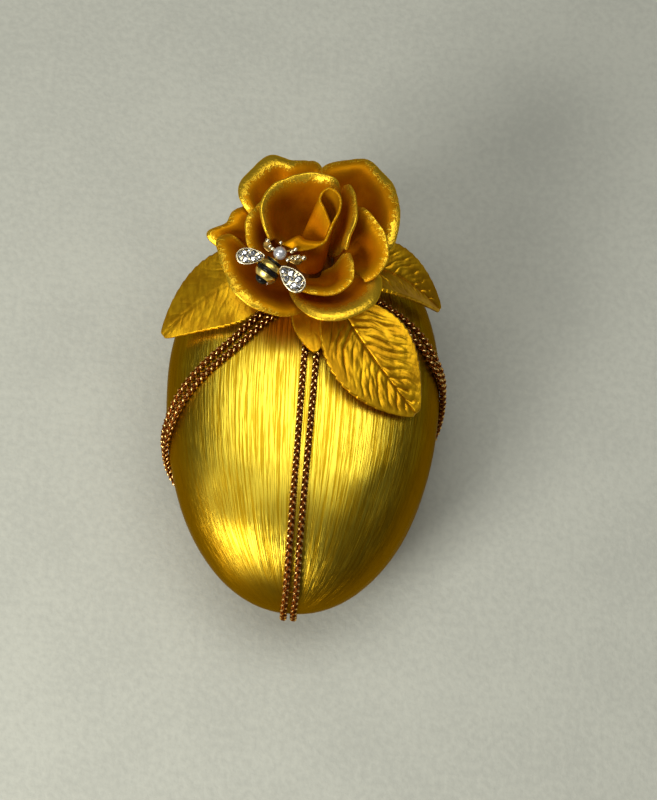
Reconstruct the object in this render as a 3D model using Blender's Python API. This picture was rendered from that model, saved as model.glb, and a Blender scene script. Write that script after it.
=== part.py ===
"""A gold painted egg with two pairs of braided cord, a hand-made rose, four leaves and a bee charm.

The egg lies on its back with the rose up. Units are metres, +Z is up and +Y runs to the broad end.
The origin is the middle of the object's footprint, on the surface that it lies on.
"""

import math

import bmesh
import bpy
from mathutils import Matrix, Vector

MM = 0.001
GAP = 0.3 * MM

# Egg body: an egg outline whose sections are squared-off ovals, flattened front to back.
EGG_HALF_WIDTH = 22.4 * MM
EGG_HALF_DEPTH = 13.0 * MM
EGG_NARROW_REACH = 37.5 * MM
EGG_BROAD_REACH = 30.6 * MM
EGG_NARROW_FULLNESS = 2.15
EGG_SECTION_POWER = 2.5
EGG_STEPS_ROUND = 40
EGG_STEPS_LONG = 12

# Cords: one pair lengthwise and one pair round the girth. The back of the lengthwise pair is the foot.
CORD_DIAMETER = 1.25 * MM
FOOT_FLAT = CORD_DIAMETER / 10
LONG_CORD_POINTS = 58
GIRTH_CORD_POINTS = 54
EGG_MIDDLE_HEIGHT = EGG_HALF_DEPTH + GAP + CORD_DIAMETER - FOOT_FLAT

# Lengthwise routes: (angle round the length in degrees, distance across in mm).
# 90 is the front, 180 the narrow end, 270 the back and 360 the broad end.
LONG_CORD_LEFT = [
    (75, 0.3), (90, 0.0), (130, -0.7), (160, -1.1), (180, -1.35), (225, -1.2), (270, -1.05),
    (320, -1.0), (398, -0.9),
]
LONG_CORD_RIGHT = [
    (75, 2.25), (90, 1.9), (130, 0.9), (160, 0.5), (180, 0.2), (225, 0.45), (270, 1.05), (320, 1.1),
    (400.5, 0.9),
]
# Girth route: (angle round the girth in degrees, distance towards the broad end in mm).
# 0 is the front, -90 the left side, -180 the back and -270 the right side.
GIRTH_ROUTE = [
    (-13, 9.4), (-20, 6.9), (-31, 2.8), (-44, -0.9), (-58, -4.9), (-72, -8.8), (-90, -12.0),
    (-120, -16.2), (-150, -20.3), (-180, -22.0), (-210, -17.5), (-240, -8.6), (-270, -1.0),
    (-290, 2.8), (-300, 5.4), (-310, 7.7), (-322, 9.9), (-336, 12.5),
]
GIRTH_LIFT_FULL = 2.6 * MM
GIRTH_LIFT_END = 7.5 * MM
ROUTE_STEP = 0.004
FOOT_SLAB_SIDE = 30 * MM
FOOT_SLAB_HEIGHT = 4 * MM

# Rose: the petals fan out from one point on the rose's axis, on a clay core that sits on a glued bed.
ROSE_X = 0.2 * MM
ROSE_Y = 15.5 * MM
ROSE_TILT = math.radians(11)
BED_RADIUS = 6.8 * MM
BED_RISE = 2.1 * MM
BED_TABLE_RADIUS = 6.1 * MM
BED_SHOULDER = 0.5 * MM
BED_SKIRT_RADIUS = 7.1 * MM
BED_DEPTH = 3.5 * MM
BED_SIDES = 24
CORE_RADIUS = 3.8 * MM
CORE_STANDS = 2.0 * MM
CORE_STEPS = 9
CORE_SIDES = 20
PETAL_THICKNESS = 0.5 * MM
PETAL_START = CORE_RADIUS + GAP
PETAL_COLUMNS = 12
PETAL_ROWS = 6
PETAL_BASE_SPREAD = 0.42
PETAL_SPREAD_BEND = 0.7
CUP_INNER_ANGLE = 28.0
CUP_START_ANGLE = 45.0
CUP_START_RATE = 0.9
CUP_BEND = 1.5

# Petal rims: (direction round the axis in degrees, radius in mm, height above the fan point in mm).
PETAL_RIMS = {
    "rose_petal_inner_left": [
        (50, 7.2, 11.0), (61, 7.6, 14.4), (90, 7.6, 14.6), (125, 7.8, 14.2), (155, 8.4, 13.9),
        (185, 7.7, 12.9), (205, 7.0, 10.8),
    ],
    "rose_petal_inner_right": [
        (56, 9.0, 11.4), (46, 8.6, 13.2), (28, 7.9, 13.1), (8, 7.3, 12.6), (-14, 6.8, 11.8),
        (-30, 6.7, 9.9),
    ],
    "rose_petal_middle_left": [
        (135, 9.0, 9.7), (160, 9.6, 10.6), (178, 10.4, 10.5), (195, 10.3, 9.3), (215, 9.7, 7.3),
        (230, 9.0, 5.5),
    ],
    "rose_petal_middle_right": [
        (40, 9.2, 8.0), (24, 9.3, 10.7), (10, 10.6, 10.3), (-3, 12.0, 9.5), (-15, 12.8, 8.3),
        (-27, 12.6, 7.1), (-36, 11.3, 5.7),
    ],
    "rose_petal_middle_lower": [
        (-34, 7.4, 8.2), (-39, 9.0, 8.0), (-49, 10.6, 7.6), (-64, 10.8, 7.0), (-85, 10.1, 6.9),
        (-106, 9.4, 6.6), (-120, 8.4, 5.7),
    ],
    "rose_petal_outer_lower_right": [
        (-112, 7.9, 3.3), (-104, 9.6, 3.8), (-92, 12.3, 4.7), (-78, 14.4, 5.3), (-60, 14.9, 5.4),
        (-42, 14.5, 5.2), (-26, 13.0, 4.7), (-18, 10.9, 3.8),
    ],
    "rose_petal_outer_lower_left": [
        (176, 13.6, 5.7), (182, 15.1, 6.0), (195, 14.7, 5.9), (209, 14.7, 5.7), (222, 14.8, 5.2),
        (233, 14.6, 4.6), (245, 13.6, 3.9), (257, 12.5, 3.2), (268, 10.4, 2.3),
    ],
    "rose_petal_outer_left": [
        (132, 11.8, 4.8), (148, 12.7, 5.9), (158, 13.6, 6.1), (167, 14.2, 5.6), (175, 16.8, 5.0),
        (182, 14.2, 3.7), (188, 11.3, 2.7),
    ],
    "rose_petal_outer_upper_left": [
        (157, 9.9, 6.5), (152, 12.8, 8.0), (143, 14.7, 8.5), (130, 15.6, 8.7), (116, 16.3, 8.7),
        (106, 14.9, 8.2), (96, 14.8, 7.4), (88, 15.2, 6.6), (82, 13.0, 5.7),
    ],
    "rose_petal_outer_upper": [
        (112, 11.0, 2.9), (102, 13.6, 3.9), (90, 14.6, 4.2), (78, 14.3, 4.1), (68, 12.6, 3.5),
        (60, 10.6, 2.7),
    ],
    "rose_petal_outer_upper_right": [
        (88, 10.6, 6.3), (85, 13.2, 7.5), (79, 14.3, 8.4), (68, 15.4, 8.9), (58, 16.9, 9.0),
        (46, 16.3, 8.9), (32, 15.9, 8.6), (20, 14.9, 8.1), (9, 14.1, 7.4), (0, 13.3, 6.6), (-8, 11.6, 5.4),
    ],
}

# Bud: one petal rolled on itself. Its rim is (across, along, height) in mm in the rose's own axes, and the
# last value is the angle in degrees from the rose's axis at which its foot stands on the core.
BUD_RIM = [
    (-4.8, -3.4, 11.0, 40), (-3.4, -4.1, 10.9, 46), (-1.6, -4.6, 10.8, 52), (0.7, -4.1, 11.0, 54),
    (2.2, -3.4, 11.6, 50), (2.8, -2.3, 12.4, 42), (3.4, -1.0, 13.4, 36), (4.3, 0.7, 14.4, 33),
    (4.4, 2.5, 15.1, 33), (3.6, 3.7, 15.4, 33), (2.5, 4.1, 15.5, 33), (1.6, 3.5, 15.2, 33),
    (1.3, 2.3, 14.8, 33), (2.0, 1.3, 14.2, 33), (2.9, 0.5, 13.6, 33),
]
BUD_MIDDLE = Vector((0.9, 0.2, 0.0)) * MM
BUD_CURL_SHARE = 0.5
BUD_CURL_FOOT_HEIGHT = 7.5 * MM
BUD_CURL_FROM = 0.66
BUD_LIP = 1.6 * MM
BUD_LIP_START = 0.10
BUD_LIP_END = 0.4
BUD_NECK = 0.86
BUD_THICKNESS = 0.45 * MM
BUD_COLUMNS = 28
BUD_ROWS = 5

# Leaves: three midline points in mm from the middle of the egg body, the direction that the leaf faces, its
# half width in mm, its fold, the share of the outline at which it starts and the outline's bend. A bend over
# 1 puts the widest place nearer to the tip.
LEAF_THICKNESS = 0.7 * MM
LEAF_ROWS = 16
LEAF_COLUMNS_EACH_SIDE = 3
LEAF_TEETH_DEPTH = 0.05
LEAF_RIB_DEPTH = 0.35 * MM
LEAF_RIB_SHARE = 0.3
LEAF_OUTLINE_END = 0.98
LEAF_OUTLINE_FULLNESS = 0.8
LEAVES = {
    "leaf_left": [
        (-5.4, 13.8, 14.6), (-14.0, 13.7, 16.2), (-23.0, 5.5, 8.0),
        (-0.2, 0.0, 1.0), 6.4, 0.10, 0.03, 0.8,
    ],
    "leaf_right": [
        (6.2, 15.8, 13.9), (13.2, 18.8, 14.0), (21.6, 12.8, 6.4),
        (0.45, 0.1, 0.9), 4.6, -0.35, 0.03, 0.8,
    ],
    "leaf_front": [
        (4.4, 10.7, 15.6), (8.9, 2.4, 16.6), (18.1, -6.7, 11.2),
        (0.26, -0.1, 0.96), 7.2, -0.06, 0.08, 1.15,
    ],
    "leaf_small": [
        (0.3, 11.2, 15.0), (1.0, 6.1, 15.4), (1.8, 1.3, 15.4),
        (0.0, 0.0, 1.0), 3.0, 0.04, 0.10, 0.9,
    ],
}

# Bee charm: a cast body with enamel bands, a pearl, two stone-set wings and two beaded fore wings.
BEE_PLACE = Vector((-6.1, -7.2, 9.2)) * MM
BEE_FACE = Vector((-0.10, -0.45, 0.89))
BEE_HEADING = Vector((0.56, 0.726, 0.40))
BEE_GAP = 0.1 * MM
BEE_STEPS_ROUND = 14
BEE_BODY_PROFILE = [
    (1.75, 0.0), (1.7, 0.55), (1.55, 0.8), (1.15, 0.85), (1.05, 1.15), (0.6, 1.42), (0.15, 1.48),
    (0.05, 1.22), (-0.75, 1.2), (-0.85, 1.42), (-1.2, 1.34), (-1.65, 1.1), (-1.8, 1.0), (-1.85, 0.0),
]
# Enamel bands: place along the body, width and radius of the groove, in mm.
BEE_BANDS = [("bee_enamel_band_front", 1.35, 0.30, 0.85), ("bee_enamel_band_rear", -0.35, 0.60, 1.22)]
BEE_BAND_THICKNESS = 0.22 * MM
BEE_TAIL_RADIUS = 0.9 * MM
BEE_TAIL_LENGTH = 0.8 * MM
BEE_TAIL_STEPS = 4
PEARL_RADIUS = 1.05 * MM
PEARL_LIFT = 0.25 * MM
PEARL_STEPS = 10
# Wings: (inner end, outer end) in mm along and across the bee, half width in mm.
BEE_WINGS = {
    "left": ((1.1, 1.5), (-1.5, 5.2), 1.25),
    "right": ((1.25, -1.4), (0.4, -6.4), 1.5),
}
BEE_WING_HEIGHT = 0.55 * MM
BEE_WING_THICKNESS = 0.45 * MM
BEE_WING_STEPS = 14
BEE_WING_FLARE = 0.3
BEE_FORE_WINGS = {
    "left": ((2.15, 1.25), (3.1, 3.0), 0.65),
    "right": ((2.9, -1.3), (4.0, -3.5), 0.75),
}
# Beads of metal on a fore wing: (share of the way along it, offset to the side in half widths).
GRANULES = [(0.45, 0.9), (0.8, 0.75), (1.0, 0.0), (0.7, -0.8)]
GRANULE_RADIUS = 0.34 * MM
# Stones: (share of the way along the wing, offset to the side in half widths, radius in mm).
STONES = [
    (0.16, 0.0, 0.36), (0.38, 0.32, 0.42), (0.40, -0.36, 0.40), (0.66, 0.42, 0.48), (0.70, -0.38, 0.48),
]
# A cut stone's outline (radius, height) in girdle radii: table, crown, girdle and pavilion.
STONE_PROFILE = [(0.0, 0.75), (0.55, 0.75), (1.0, 0.4), (1.0, 0.25), (0.5, 0.0), (0.0, 0.0)]
STONE_SIDES = 8
GLUE_RADIUS = 1.3 * MM
GLUE_HALF_HEIGHT = 0.55 * MM
GLUE_STEPS = 4
GLUE_SIDES = 12
GLUE_PLACE = Vector((-6.2, -7.4, 6.9)) * MM


def clear_scene():
    for old in list(bpy.data.objects):
        bpy.data.objects.remove(old)


def finish(name, colour, roughness, metallic):
    """A Principled material with the piece's colour."""
    made = bpy.data.materials.new(name)
    made.use_nodes = True
    shader = made.node_tree.nodes["Principled BSDF"]
    shader.inputs["Base Color"].default_value = (*colour, 1.0)
    shader.inputs["Roughness"].default_value = roughness
    shader.inputs["Metallic"].default_value = metallic
    return made


def add_empty(name, parent, place):
    empty = bpy.data.objects.new(name, None)
    bpy.context.collection.objects.link(empty)
    empty.parent = parent
    empty.matrix_local = place
    return empty


def add_piece(name, mesh, material, parent):
    piece = bpy.data.objects.new(name, mesh)
    bpy.context.collection.objects.link(piece)
    piece.parent = parent
    mesh.materials.append(material)
    return piece


def along(stations, share):
    """A point on the smooth curve through the stations, at a share of the way along it."""
    place = share * (len(stations) - 1)
    index = min(int(place), len(stations) - 2)
    rest = place - index
    here, there = Vector(stations[index]), Vector(stations[index + 1])
    before = Vector(stations[index - 1]) if index else here * 2 - there
    after = Vector(stations[index + 2]) if index + 2 < len(stations) else there * 2 - here
    slope_in, slope_out = (there - before) / 2, (after - here) / 2
    square, cube = rest**2, rest**3
    return (
        here * (2 * cube - 3 * square + 1)
        + slope_in * (cube - 2 * square + rest)
        + there * (3 * square - 2 * cube)
        + slope_out * (cube - square)
    )


def smooth_step(value):
    value = min(1.0, max(0.0, value))
    return value * value * (3 - 2 * value)


def turned(name, profile, steps, material, parent, smooth=True):
    """A body turned about Z: the profile (radius, height) runs from its top down its outer side."""
    mesh = bpy.data.meshes.new(name)
    closed = profile[0][0] > 0
    edges = [(i, i + 1) for i in range(len(profile) - 1)]
    if closed:
        edges.append((len(profile) - 1, 0))
    mesh.from_pydata([(radius, 0.0, height) for radius, height in profile], edges, [])
    piece = add_piece(name, mesh, material, parent)
    lathe = piece.modifiers.new("Lathe", "SCREW")
    lathe.steps = lathe.render_steps = steps
    lathe.use_merge_vertices = True
    lathe.merge_threshold = 1e-6
    lathe.use_smooth_shade = smooth
    return piece


def dome_profile(radius, height, reach, steps):
    """A round outline (radius, height) from its top down to an angle from the axis."""
    turns = [reach * step / steps for step in range(1, steps + 1)]
    return [(0.0, height)] + [(radius * math.sin(turn), height * math.cos(turn)) for turn in turns]


def sheet(name, rows, thickness, material, parent):
    """A petal or a leaf: a sheet through rows of points, with a wall of even thickness."""
    shape = bmesh.new()
    grid = [[shape.verts.new(point) for point in row] for row in rows]
    for near, far in zip(grid, grid[1:]):
        for a, b, c, d in zip(near, near[1:], far[1:], far):
            shape.faces.new((a, b, c, d))
    mesh = bpy.data.meshes.new(name)
    shape.to_mesh(mesh)
    shape.free()
    mesh.shade_smooth()
    piece = add_piece(name, mesh, material, parent)
    wall = piece.modifiers.new("Wall", "SOLIDIFY")
    wall.thickness = thickness
    wall.offset = 0.0
    wall.use_quality_normals = True
    return piece


def egg_section(y):
    """The share of the widest section that the egg has at station y."""
    if y > 0:
        return math.sqrt(max(0.0, 1 - (y / EGG_BROAD_REACH) ** 2))
    return math.sqrt(max(0.0, 1 - (-y / EGG_NARROW_REACH) ** EGG_NARROW_FULLNESS))


def egg_normal(point):
    """The outward direction of the egg's surface at a point on it, in the egg's axes."""
    x, y, z = point
    reach, power = (EGG_BROAD_REACH, 2.0) if y > 0 else (EGG_NARROW_REACH, EGG_NARROW_FULLNESS)
    square = EGG_SECTION_POWER
    across = abs(x) ** (square - 1) / EGG_HALF_WIDTH**square
    length = egg_section(y) ** (square - 2) * power * abs(y) ** (power - 1) / (2 * reach**power)
    depth = abs(z) ** (square - 1) / EGG_HALF_DEPTH**square
    return Vector((math.copysign(across, x), math.copysign(length, y), math.copysign(depth, z))).normalized()


def egg_depth(across, section):
    """How deep the egg is beside its middle line, where its section has a share of the widest."""
    left = section**EGG_SECTION_POWER - (abs(across) / EGG_HALF_WIDTH) ** EGG_SECTION_POWER
    return EGG_HALF_DEPTH * max(0.0, left) ** (1 / EGG_SECTION_POWER)


def egg_ring(station):
    """Points round the egg's section at a station."""
    section = egg_section(station)
    ring = []
    for step in range(EGG_STEPS_ROUND):
        turn = math.tau * step / EGG_STEPS_ROUND
        ways = (math.sin(turn), math.cos(turn))
        across, depth = (math.copysign(abs(way) ** (2 / EGG_SECTION_POWER), way) for way in ways)
        ring.append((EGG_HALF_WIDTH * section * across, station, EGG_HALF_DEPTH * section * depth))
    return ring


def egg_mesh(name):
    """The egg as rings of points between its two ends."""
    shape = bmesh.new()
    rings = [[shape.verts.new((0.0, -EGG_NARROW_REACH, 0.0))] * EGG_STEPS_ROUND]
    for step in range(1 - EGG_STEPS_LONG, EGG_STEPS_LONG):
        reach = EGG_NARROW_REACH if step < 0 else EGG_BROAD_REACH
        station = reach * math.sin(math.radians(90) * step / EGG_STEPS_LONG)
        rings.append([shape.verts.new(point) for point in egg_ring(station)])
    rings.append([shape.verts.new((0.0, EGG_BROAD_REACH, 0.0))] * EGG_STEPS_ROUND)
    for near, far in zip(rings, rings[1:]):
        for a, b, c, d in zip(near, near[1:] + near[:1], far[1:] + far[:1], far):
            shape.faces.new(dict.fromkeys((a, b, c, d)))
    bmesh.ops.recalc_face_normals(shape, faces=shape.faces)
    mesh = bpy.data.meshes.new(name)
    shape.to_mesh(mesh)
    shape.free()
    mesh.shade_smooth()
    return mesh


def long_cord_path(route):
    """Centres of a strand that runs lengthwise round the egg."""
    path = []
    for step in range(LONG_CORD_POINTS):
        turn, across = along(route, step / (LONG_CORD_POINTS - 1))
        turn, across = math.radians(turn), across * MM
        share = math.sqrt(1 - (across / EGG_HALF_WIDTH) ** 2)
        broad = math.cos(turn) > 0
        reach, power = (EGG_BROAD_REACH, 2.0) if broad else (EGG_NARROW_REACH, EGG_NARROW_FULLNESS)
        length = math.copysign(reach * (share * abs(math.cos(turn))) ** (2 / power), math.cos(turn))
        section = math.hypot(across / EGG_HALF_WIDTH, share * math.sin(turn))
        surface = Vector((across, length, math.copysign(egg_depth(across, section), math.sin(turn))))
        path.append(surface + egg_normal(surface) * (CORD_DIAMETER / 2 + GAP))
    return path


def girth_point(share):
    turn, length = along(GIRTH_ROUTE, share)
    turn, length = math.radians(turn), length * MM
    section = egg_section(length)
    across = EGG_HALF_WIDTH * section * math.sin(turn)
    return Vector((across, length, math.copysign(egg_depth(across, section), math.cos(turn))))


def girth_cord_path(side):
    """Centres of a strand round the girth, to one side of the route. It passes over the lengthwise pair."""
    path = []
    spread = (CORD_DIAMETER + GAP) / 2 * side
    for step in range(GIRTH_CORD_POINTS):
        share = step / (GIRTH_CORD_POINTS - 1)
        surface = girth_point(share)
        heading = girth_point(min(1.0, share + ROUTE_STEP)) - girth_point(max(0.0, share - ROUTE_STEP))
        beside = egg_normal(surface).cross(heading.normalized())
        surface = surface + beside * spread
        fade = (abs(surface.x) - GIRTH_LIFT_FULL) / (GIRTH_LIFT_END - GIRTH_LIFT_FULL)
        lift = (CORD_DIAMETER + GAP) * smooth_step(1 - fade) if surface.z < 0 else 0.0
        path.append(surface + egg_normal(surface) * (CORD_DIAMETER / 2 + GAP + lift))
    return path


def add_cord(name, path, material, parent):
    """A strand of cord along a path, as a closed tube."""
    guide = bpy.data.curves.new(name, "CURVE")
    guide.dimensions = "3D"
    guide.bevel_depth = CORD_DIAMETER / 2
    guide.bevel_resolution = 2
    guide.use_fill_caps = True
    line = guide.splines.new("POLY")
    line.points.add(len(path) - 1)
    for point, place in zip(line.points, path):
        point.co = (*place, 1.0)
    strand = bpy.data.objects.new(name, guide)
    bpy.context.collection.objects.link(strand)
    bpy.context.view_layer.update()
    mesh = bpy.data.meshes.new_from_object(strand.evaluated_get(bpy.context.evaluated_depsgraph_get()))
    bpy.data.objects.remove(strand)
    shape = bmesh.new()
    shape.from_mesh(mesh)
    bmesh.ops.remove_doubles(shape, verts=shape.verts, dist=1e-6)
    bmesh.ops.recalc_face_normals(shape, faces=shape.faces)
    shape.to_mesh(mesh)
    shape.free()
    mesh.shade_smooth()
    mesh.materials.clear()
    return add_piece(name, mesh, material, parent)


def add_cutter(name, mesh, parent):
    cutter = bpy.data.objects.new(name, mesh)
    bpy.context.collection.objects.link(cutter)
    cutter.parent = parent
    cutter.hide_render = True
    cutter.display_type = "WIRE"
    return cutter


def cut(piece, cutter):
    tool = piece.modifiers.new("Cut", "BOOLEAN")
    tool.operation = "DIFFERENCE"
    tool.object = cutter


def add_foot_cutter(parent):
    """A slab whose top face is the surface that the object lies on."""
    shape = bmesh.new()
    bmesh.ops.create_cube(shape, size=1.0)
    bmesh.ops.scale(shape, vec=(FOOT_SLAB_SIDE, FOOT_SLAB_SIDE, FOOT_SLAB_HEIGHT), verts=shape.verts)
    drop = -EGG_MIDDLE_HEIGHT - FOOT_SLAB_HEIGHT / 2
    bmesh.ops.translate(shape, vec=(0, 0, drop), verts=shape.verts)
    mesh = bpy.data.meshes.new("foot_cutter")
    shape.to_mesh(mesh)
    shape.free()
    return add_cutter("foot_cutter", mesh, parent)


def polar(direction, radius, height):
    """A point in the rose's axes from a direction in degrees, a radius and a height."""
    turn = math.radians(direction)
    return Vector((radius * math.cos(turn), radius * math.sin(turn), height))


def petal_rows(rim):
    """Rows of points from the core to the rim. All petals open from the fan point, so none crosses."""
    middle = (rim[0][0] + rim[-1][0]) / 2
    rows = [[] for _ in range(PETAL_ROWS + 1)]
    for column in range(PETAL_COLUMNS + 1):
        direction, radius, height = along(rim, column / PETAL_COLUMNS)
        reach = math.hypot(radius, height) * MM
        rim_angle = math.degrees(math.atan2(radius, height))
        start_angle = CUP_START_ANGLE + CUP_START_RATE * (rim_angle - CUP_INNER_ANGLE)
        for row in range(PETAL_ROWS + 1):
            share = row / PETAL_ROWS
            distance = PETAL_START + (reach - PETAL_START) * share
            opening = math.radians(rim_angle + (start_angle - rim_angle) * (1 - share) ** CUP_BEND)
            spread = PETAL_BASE_SPREAD + (1 - PETAL_BASE_SPREAD) * share**PETAL_SPREAD_BEND
            turn = middle + (direction - middle) * spread
            rows[row].append(polar(turn, distance * math.sin(opening), distance * math.cos(opening)))
    return rows


def bud_rows():
    """Rows of points of the rolled bud, with its foot on the core, a turned-out lip and an inner curl."""
    stand = CORE_RADIUS + GAP + BUD_THICKNESS / 2
    rows = [[] for _ in range(BUD_ROWS + 1)]
    for column in range(BUD_COLUMNS + 1):
        share = column / BUD_COLUMNS
        across, length, height, foot_angle = along(BUD_RIM, share)
        rim = Vector((across, length, height)) * MM
        direction = math.degrees(math.atan2(length, across))
        foot_angle = math.radians(foot_angle)
        foot = polar(direction, stand * math.sin(foot_angle), stand * math.cos(foot_angle))
        inward = BUD_MIDDLE - Vector((rim.x, rim.y, 0))
        curl_foot = BUD_MIDDLE - inward * BUD_CURL_SHARE
        curl_foot.z = BUD_CURL_FOOT_HEIGHT
        foot = foot.lerp(curl_foot, smooth_step((share - BUD_CURL_FROM) / (1 - BUD_CURL_FROM)))
        lip = BUD_LIP * smooth_step(share / BUD_LIP_START) * smooth_step(1 - share / BUD_LIP_END)
        neck = foot.lerp(rim, BUD_NECK) + inward.normalized() * lip
        neck.z += lip
        for row in range(BUD_ROWS):
            rows[row].append(foot.lerp(neck, row / (BUD_ROWS - 1)))
        rows[BUD_ROWS].append(rim)
    return rows


def leaf_rows(base, middle, tip, face, half_width, fold, start, bend):
    """Rows of points of a toothed leaf with a pressed midrib, from its stalk end to its tip."""
    face = Vector(face).normalized()
    base, middle, tip = (Vector(point) * MM for point in (base, middle, tip))
    rows = []
    for row in range(LEAF_ROWS + 1):
        share = row / LEAF_ROWS
        centre = base * (1 - share) ** 2 + middle * 2 * share * (1 - share) + tip * share**2
        heading = ((middle - base) * (1 - share) + (tip - middle) * share).normalized()
        across = heading.cross(face).normalized()
        upward = across.cross(heading)
        place = start + (LEAF_OUTLINE_END - start) * share
        outline = math.sin(math.pi * place**bend) ** LEAF_OUTLINE_FULLNESS
        tooth = 1 + LEAF_TEETH_DEPTH * (1 if row % 2 else -1)
        width = half_width * MM * outline * (tooth if 0 < row < LEAF_ROWS else 1.0)
        line = []
        for column in range(-LEAF_COLUMNS_EACH_SIDE, LEAF_COLUMNS_EACH_SIDE + 1):
            side = column / LEAF_COLUMNS_EACH_SIDE
            rib = -LEAF_RIB_DEPTH * max(0.0, 1 - abs(side) / LEAF_RIB_SHARE)
            line.append(centre + across * width * side + upward * (rib - fold * width * abs(side)))
        rows.append(line)
    return rows


def axis_turn(direction):
    """A rotation that lays Z along a direction."""
    return Vector(direction).to_track_quat("Z", "Y").to_matrix().to_4x4()


def add_plate(name, inner, outer, half_width, height, material, parent, granules=()):
    """A flat oval wing between two points, with beads of metal on its edge where it has them."""
    inner, outer = (Vector((*point, 0.0)) * MM for point in (inner, outer))
    half_length = (outer - inner).length / 2
    heading = (outer - inner).normalized()
    beside = Vector((-heading.y, heading.x, 0.0))
    shape = bmesh.new()
    ring = []
    for step in range(BEE_WING_STEPS):
        turn = math.tau * step / BEE_WING_STEPS
        wide = half_width * MM * math.sin(turn) * (1 + BEE_WING_FLARE * math.cos(turn))
        long = half_length * math.cos(turn)
        ring.append(shape.verts.new((inner + outer) / 2 + heading * long + beside * wide))
    face = shape.faces.new(ring)
    raised = bmesh.ops.extrude_face_region(shape, geom=[face])["geom"]
    top = [part for part in raised if isinstance(part, bmesh.types.BMVert)]
    bmesh.ops.translate(shape, vec=(0, 0, BEE_WING_THICKNESS), verts=top)
    bmesh.ops.translate(shape, vec=(0, 0, height), verts=shape.verts)
    bmesh.ops.recalc_face_normals(shape, faces=shape.faces)
    mesh = bpy.data.meshes.new(name)
    shape.to_mesh(mesh)
    shape.free()
    plate = add_piece(name, mesh, material, parent)
    for number, (along_wing, to_side) in enumerate(granules):
        bead = bmesh.new()
        bmesh.ops.create_icosphere(bead, subdivisions=1, radius=GRANULE_RADIUS)
        place = inner.lerp(outer, along_wing) + beside * to_side * half_width * MM
        bmesh.ops.translate(bead, vec=place + Vector((0, 0, height + BEE_WING_THICKNESS)), verts=bead.verts)
        bead_mesh = bpy.data.meshes.new(f"{name}_granule_{number}")
        bead.to_mesh(bead_mesh)
        bead.free()
        join = plate.modifiers.new("Granule", "BOOLEAN")
        join.operation = "UNION"
        join.object = add_cutter(f"{name}_granule_{number}", bead_mesh, parent)
    return plate


def add_cords(cord, body):
    foot = add_foot_cutter(body)
    for side, route in (("left", LONG_CORD_LEFT), ("right", LONG_CORD_RIGHT)):
        cut(add_cord(f"lengthwise_cord_{side}", long_cord_path(route), cord, body), foot)
    for name, side in (("girth_cord_upper", -1), ("girth_cord_lower", 1)):
        add_cord(name, girth_cord_path(side), cord, body)


def add_rose(petal, core, body):
    """The rose's frame, its bed and core, the rolled bud and the petals. Returns the frame."""
    seat = Vector((ROSE_X, ROSE_Y, egg_depth(ROSE_X, egg_section(ROSE_Y))))
    axis = Vector((0.0, math.sin(ROSE_TILT), math.cos(ROSE_TILT)))
    fan_height = BED_RISE + CORE_STANDS
    fan_point = Matrix.Translation(seat + axis * fan_height)
    rose = add_empty("rose_axis", body, fan_point @ Matrix.Rotation(-ROSE_TILT, 4, "X"))
    top, bottom = -CORE_STANDS - GAP, -fan_height - BED_DEPTH
    disc = [(0, top), (BED_TABLE_RADIUS, top), (BED_RADIUS, top - BED_SHOULDER)]
    disc += [(BED_SKIRT_RADIUS, bottom), (0, bottom)]
    bed = turned("rose_glue_bed", disc, BED_SIDES, core, rose)
    egg_cutter = add_cutter("egg_cutter", egg_mesh("egg_cutter"), body)
    egg_cutter.scale *= 1 + GAP / EGG_HALF_DEPTH
    cut(bed, egg_cutter)
    lowest = math.acos(-CORE_STANDS / CORE_RADIUS)
    ball = dome_profile(CORE_RADIUS, CORE_RADIUS, lowest, CORE_STEPS) + [(0.0, -CORE_STANDS)]
    turned("rose_core", ball, CORE_SIDES, core, rose)
    sheet("rose_bud_roll", bud_rows(), BUD_THICKNESS, petal, rose)
    for name, rim in PETAL_RIMS.items():
        sheet(name, petal_rows(rim), PETAL_THICKNESS, petal, rose)
    return rose


def add_leaves(leaf, body):
    for name, shape in LEAVES.items():
        sheet(name, leaf_rows(*shape), LEAF_THICKNESS, leaf, body)


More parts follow.
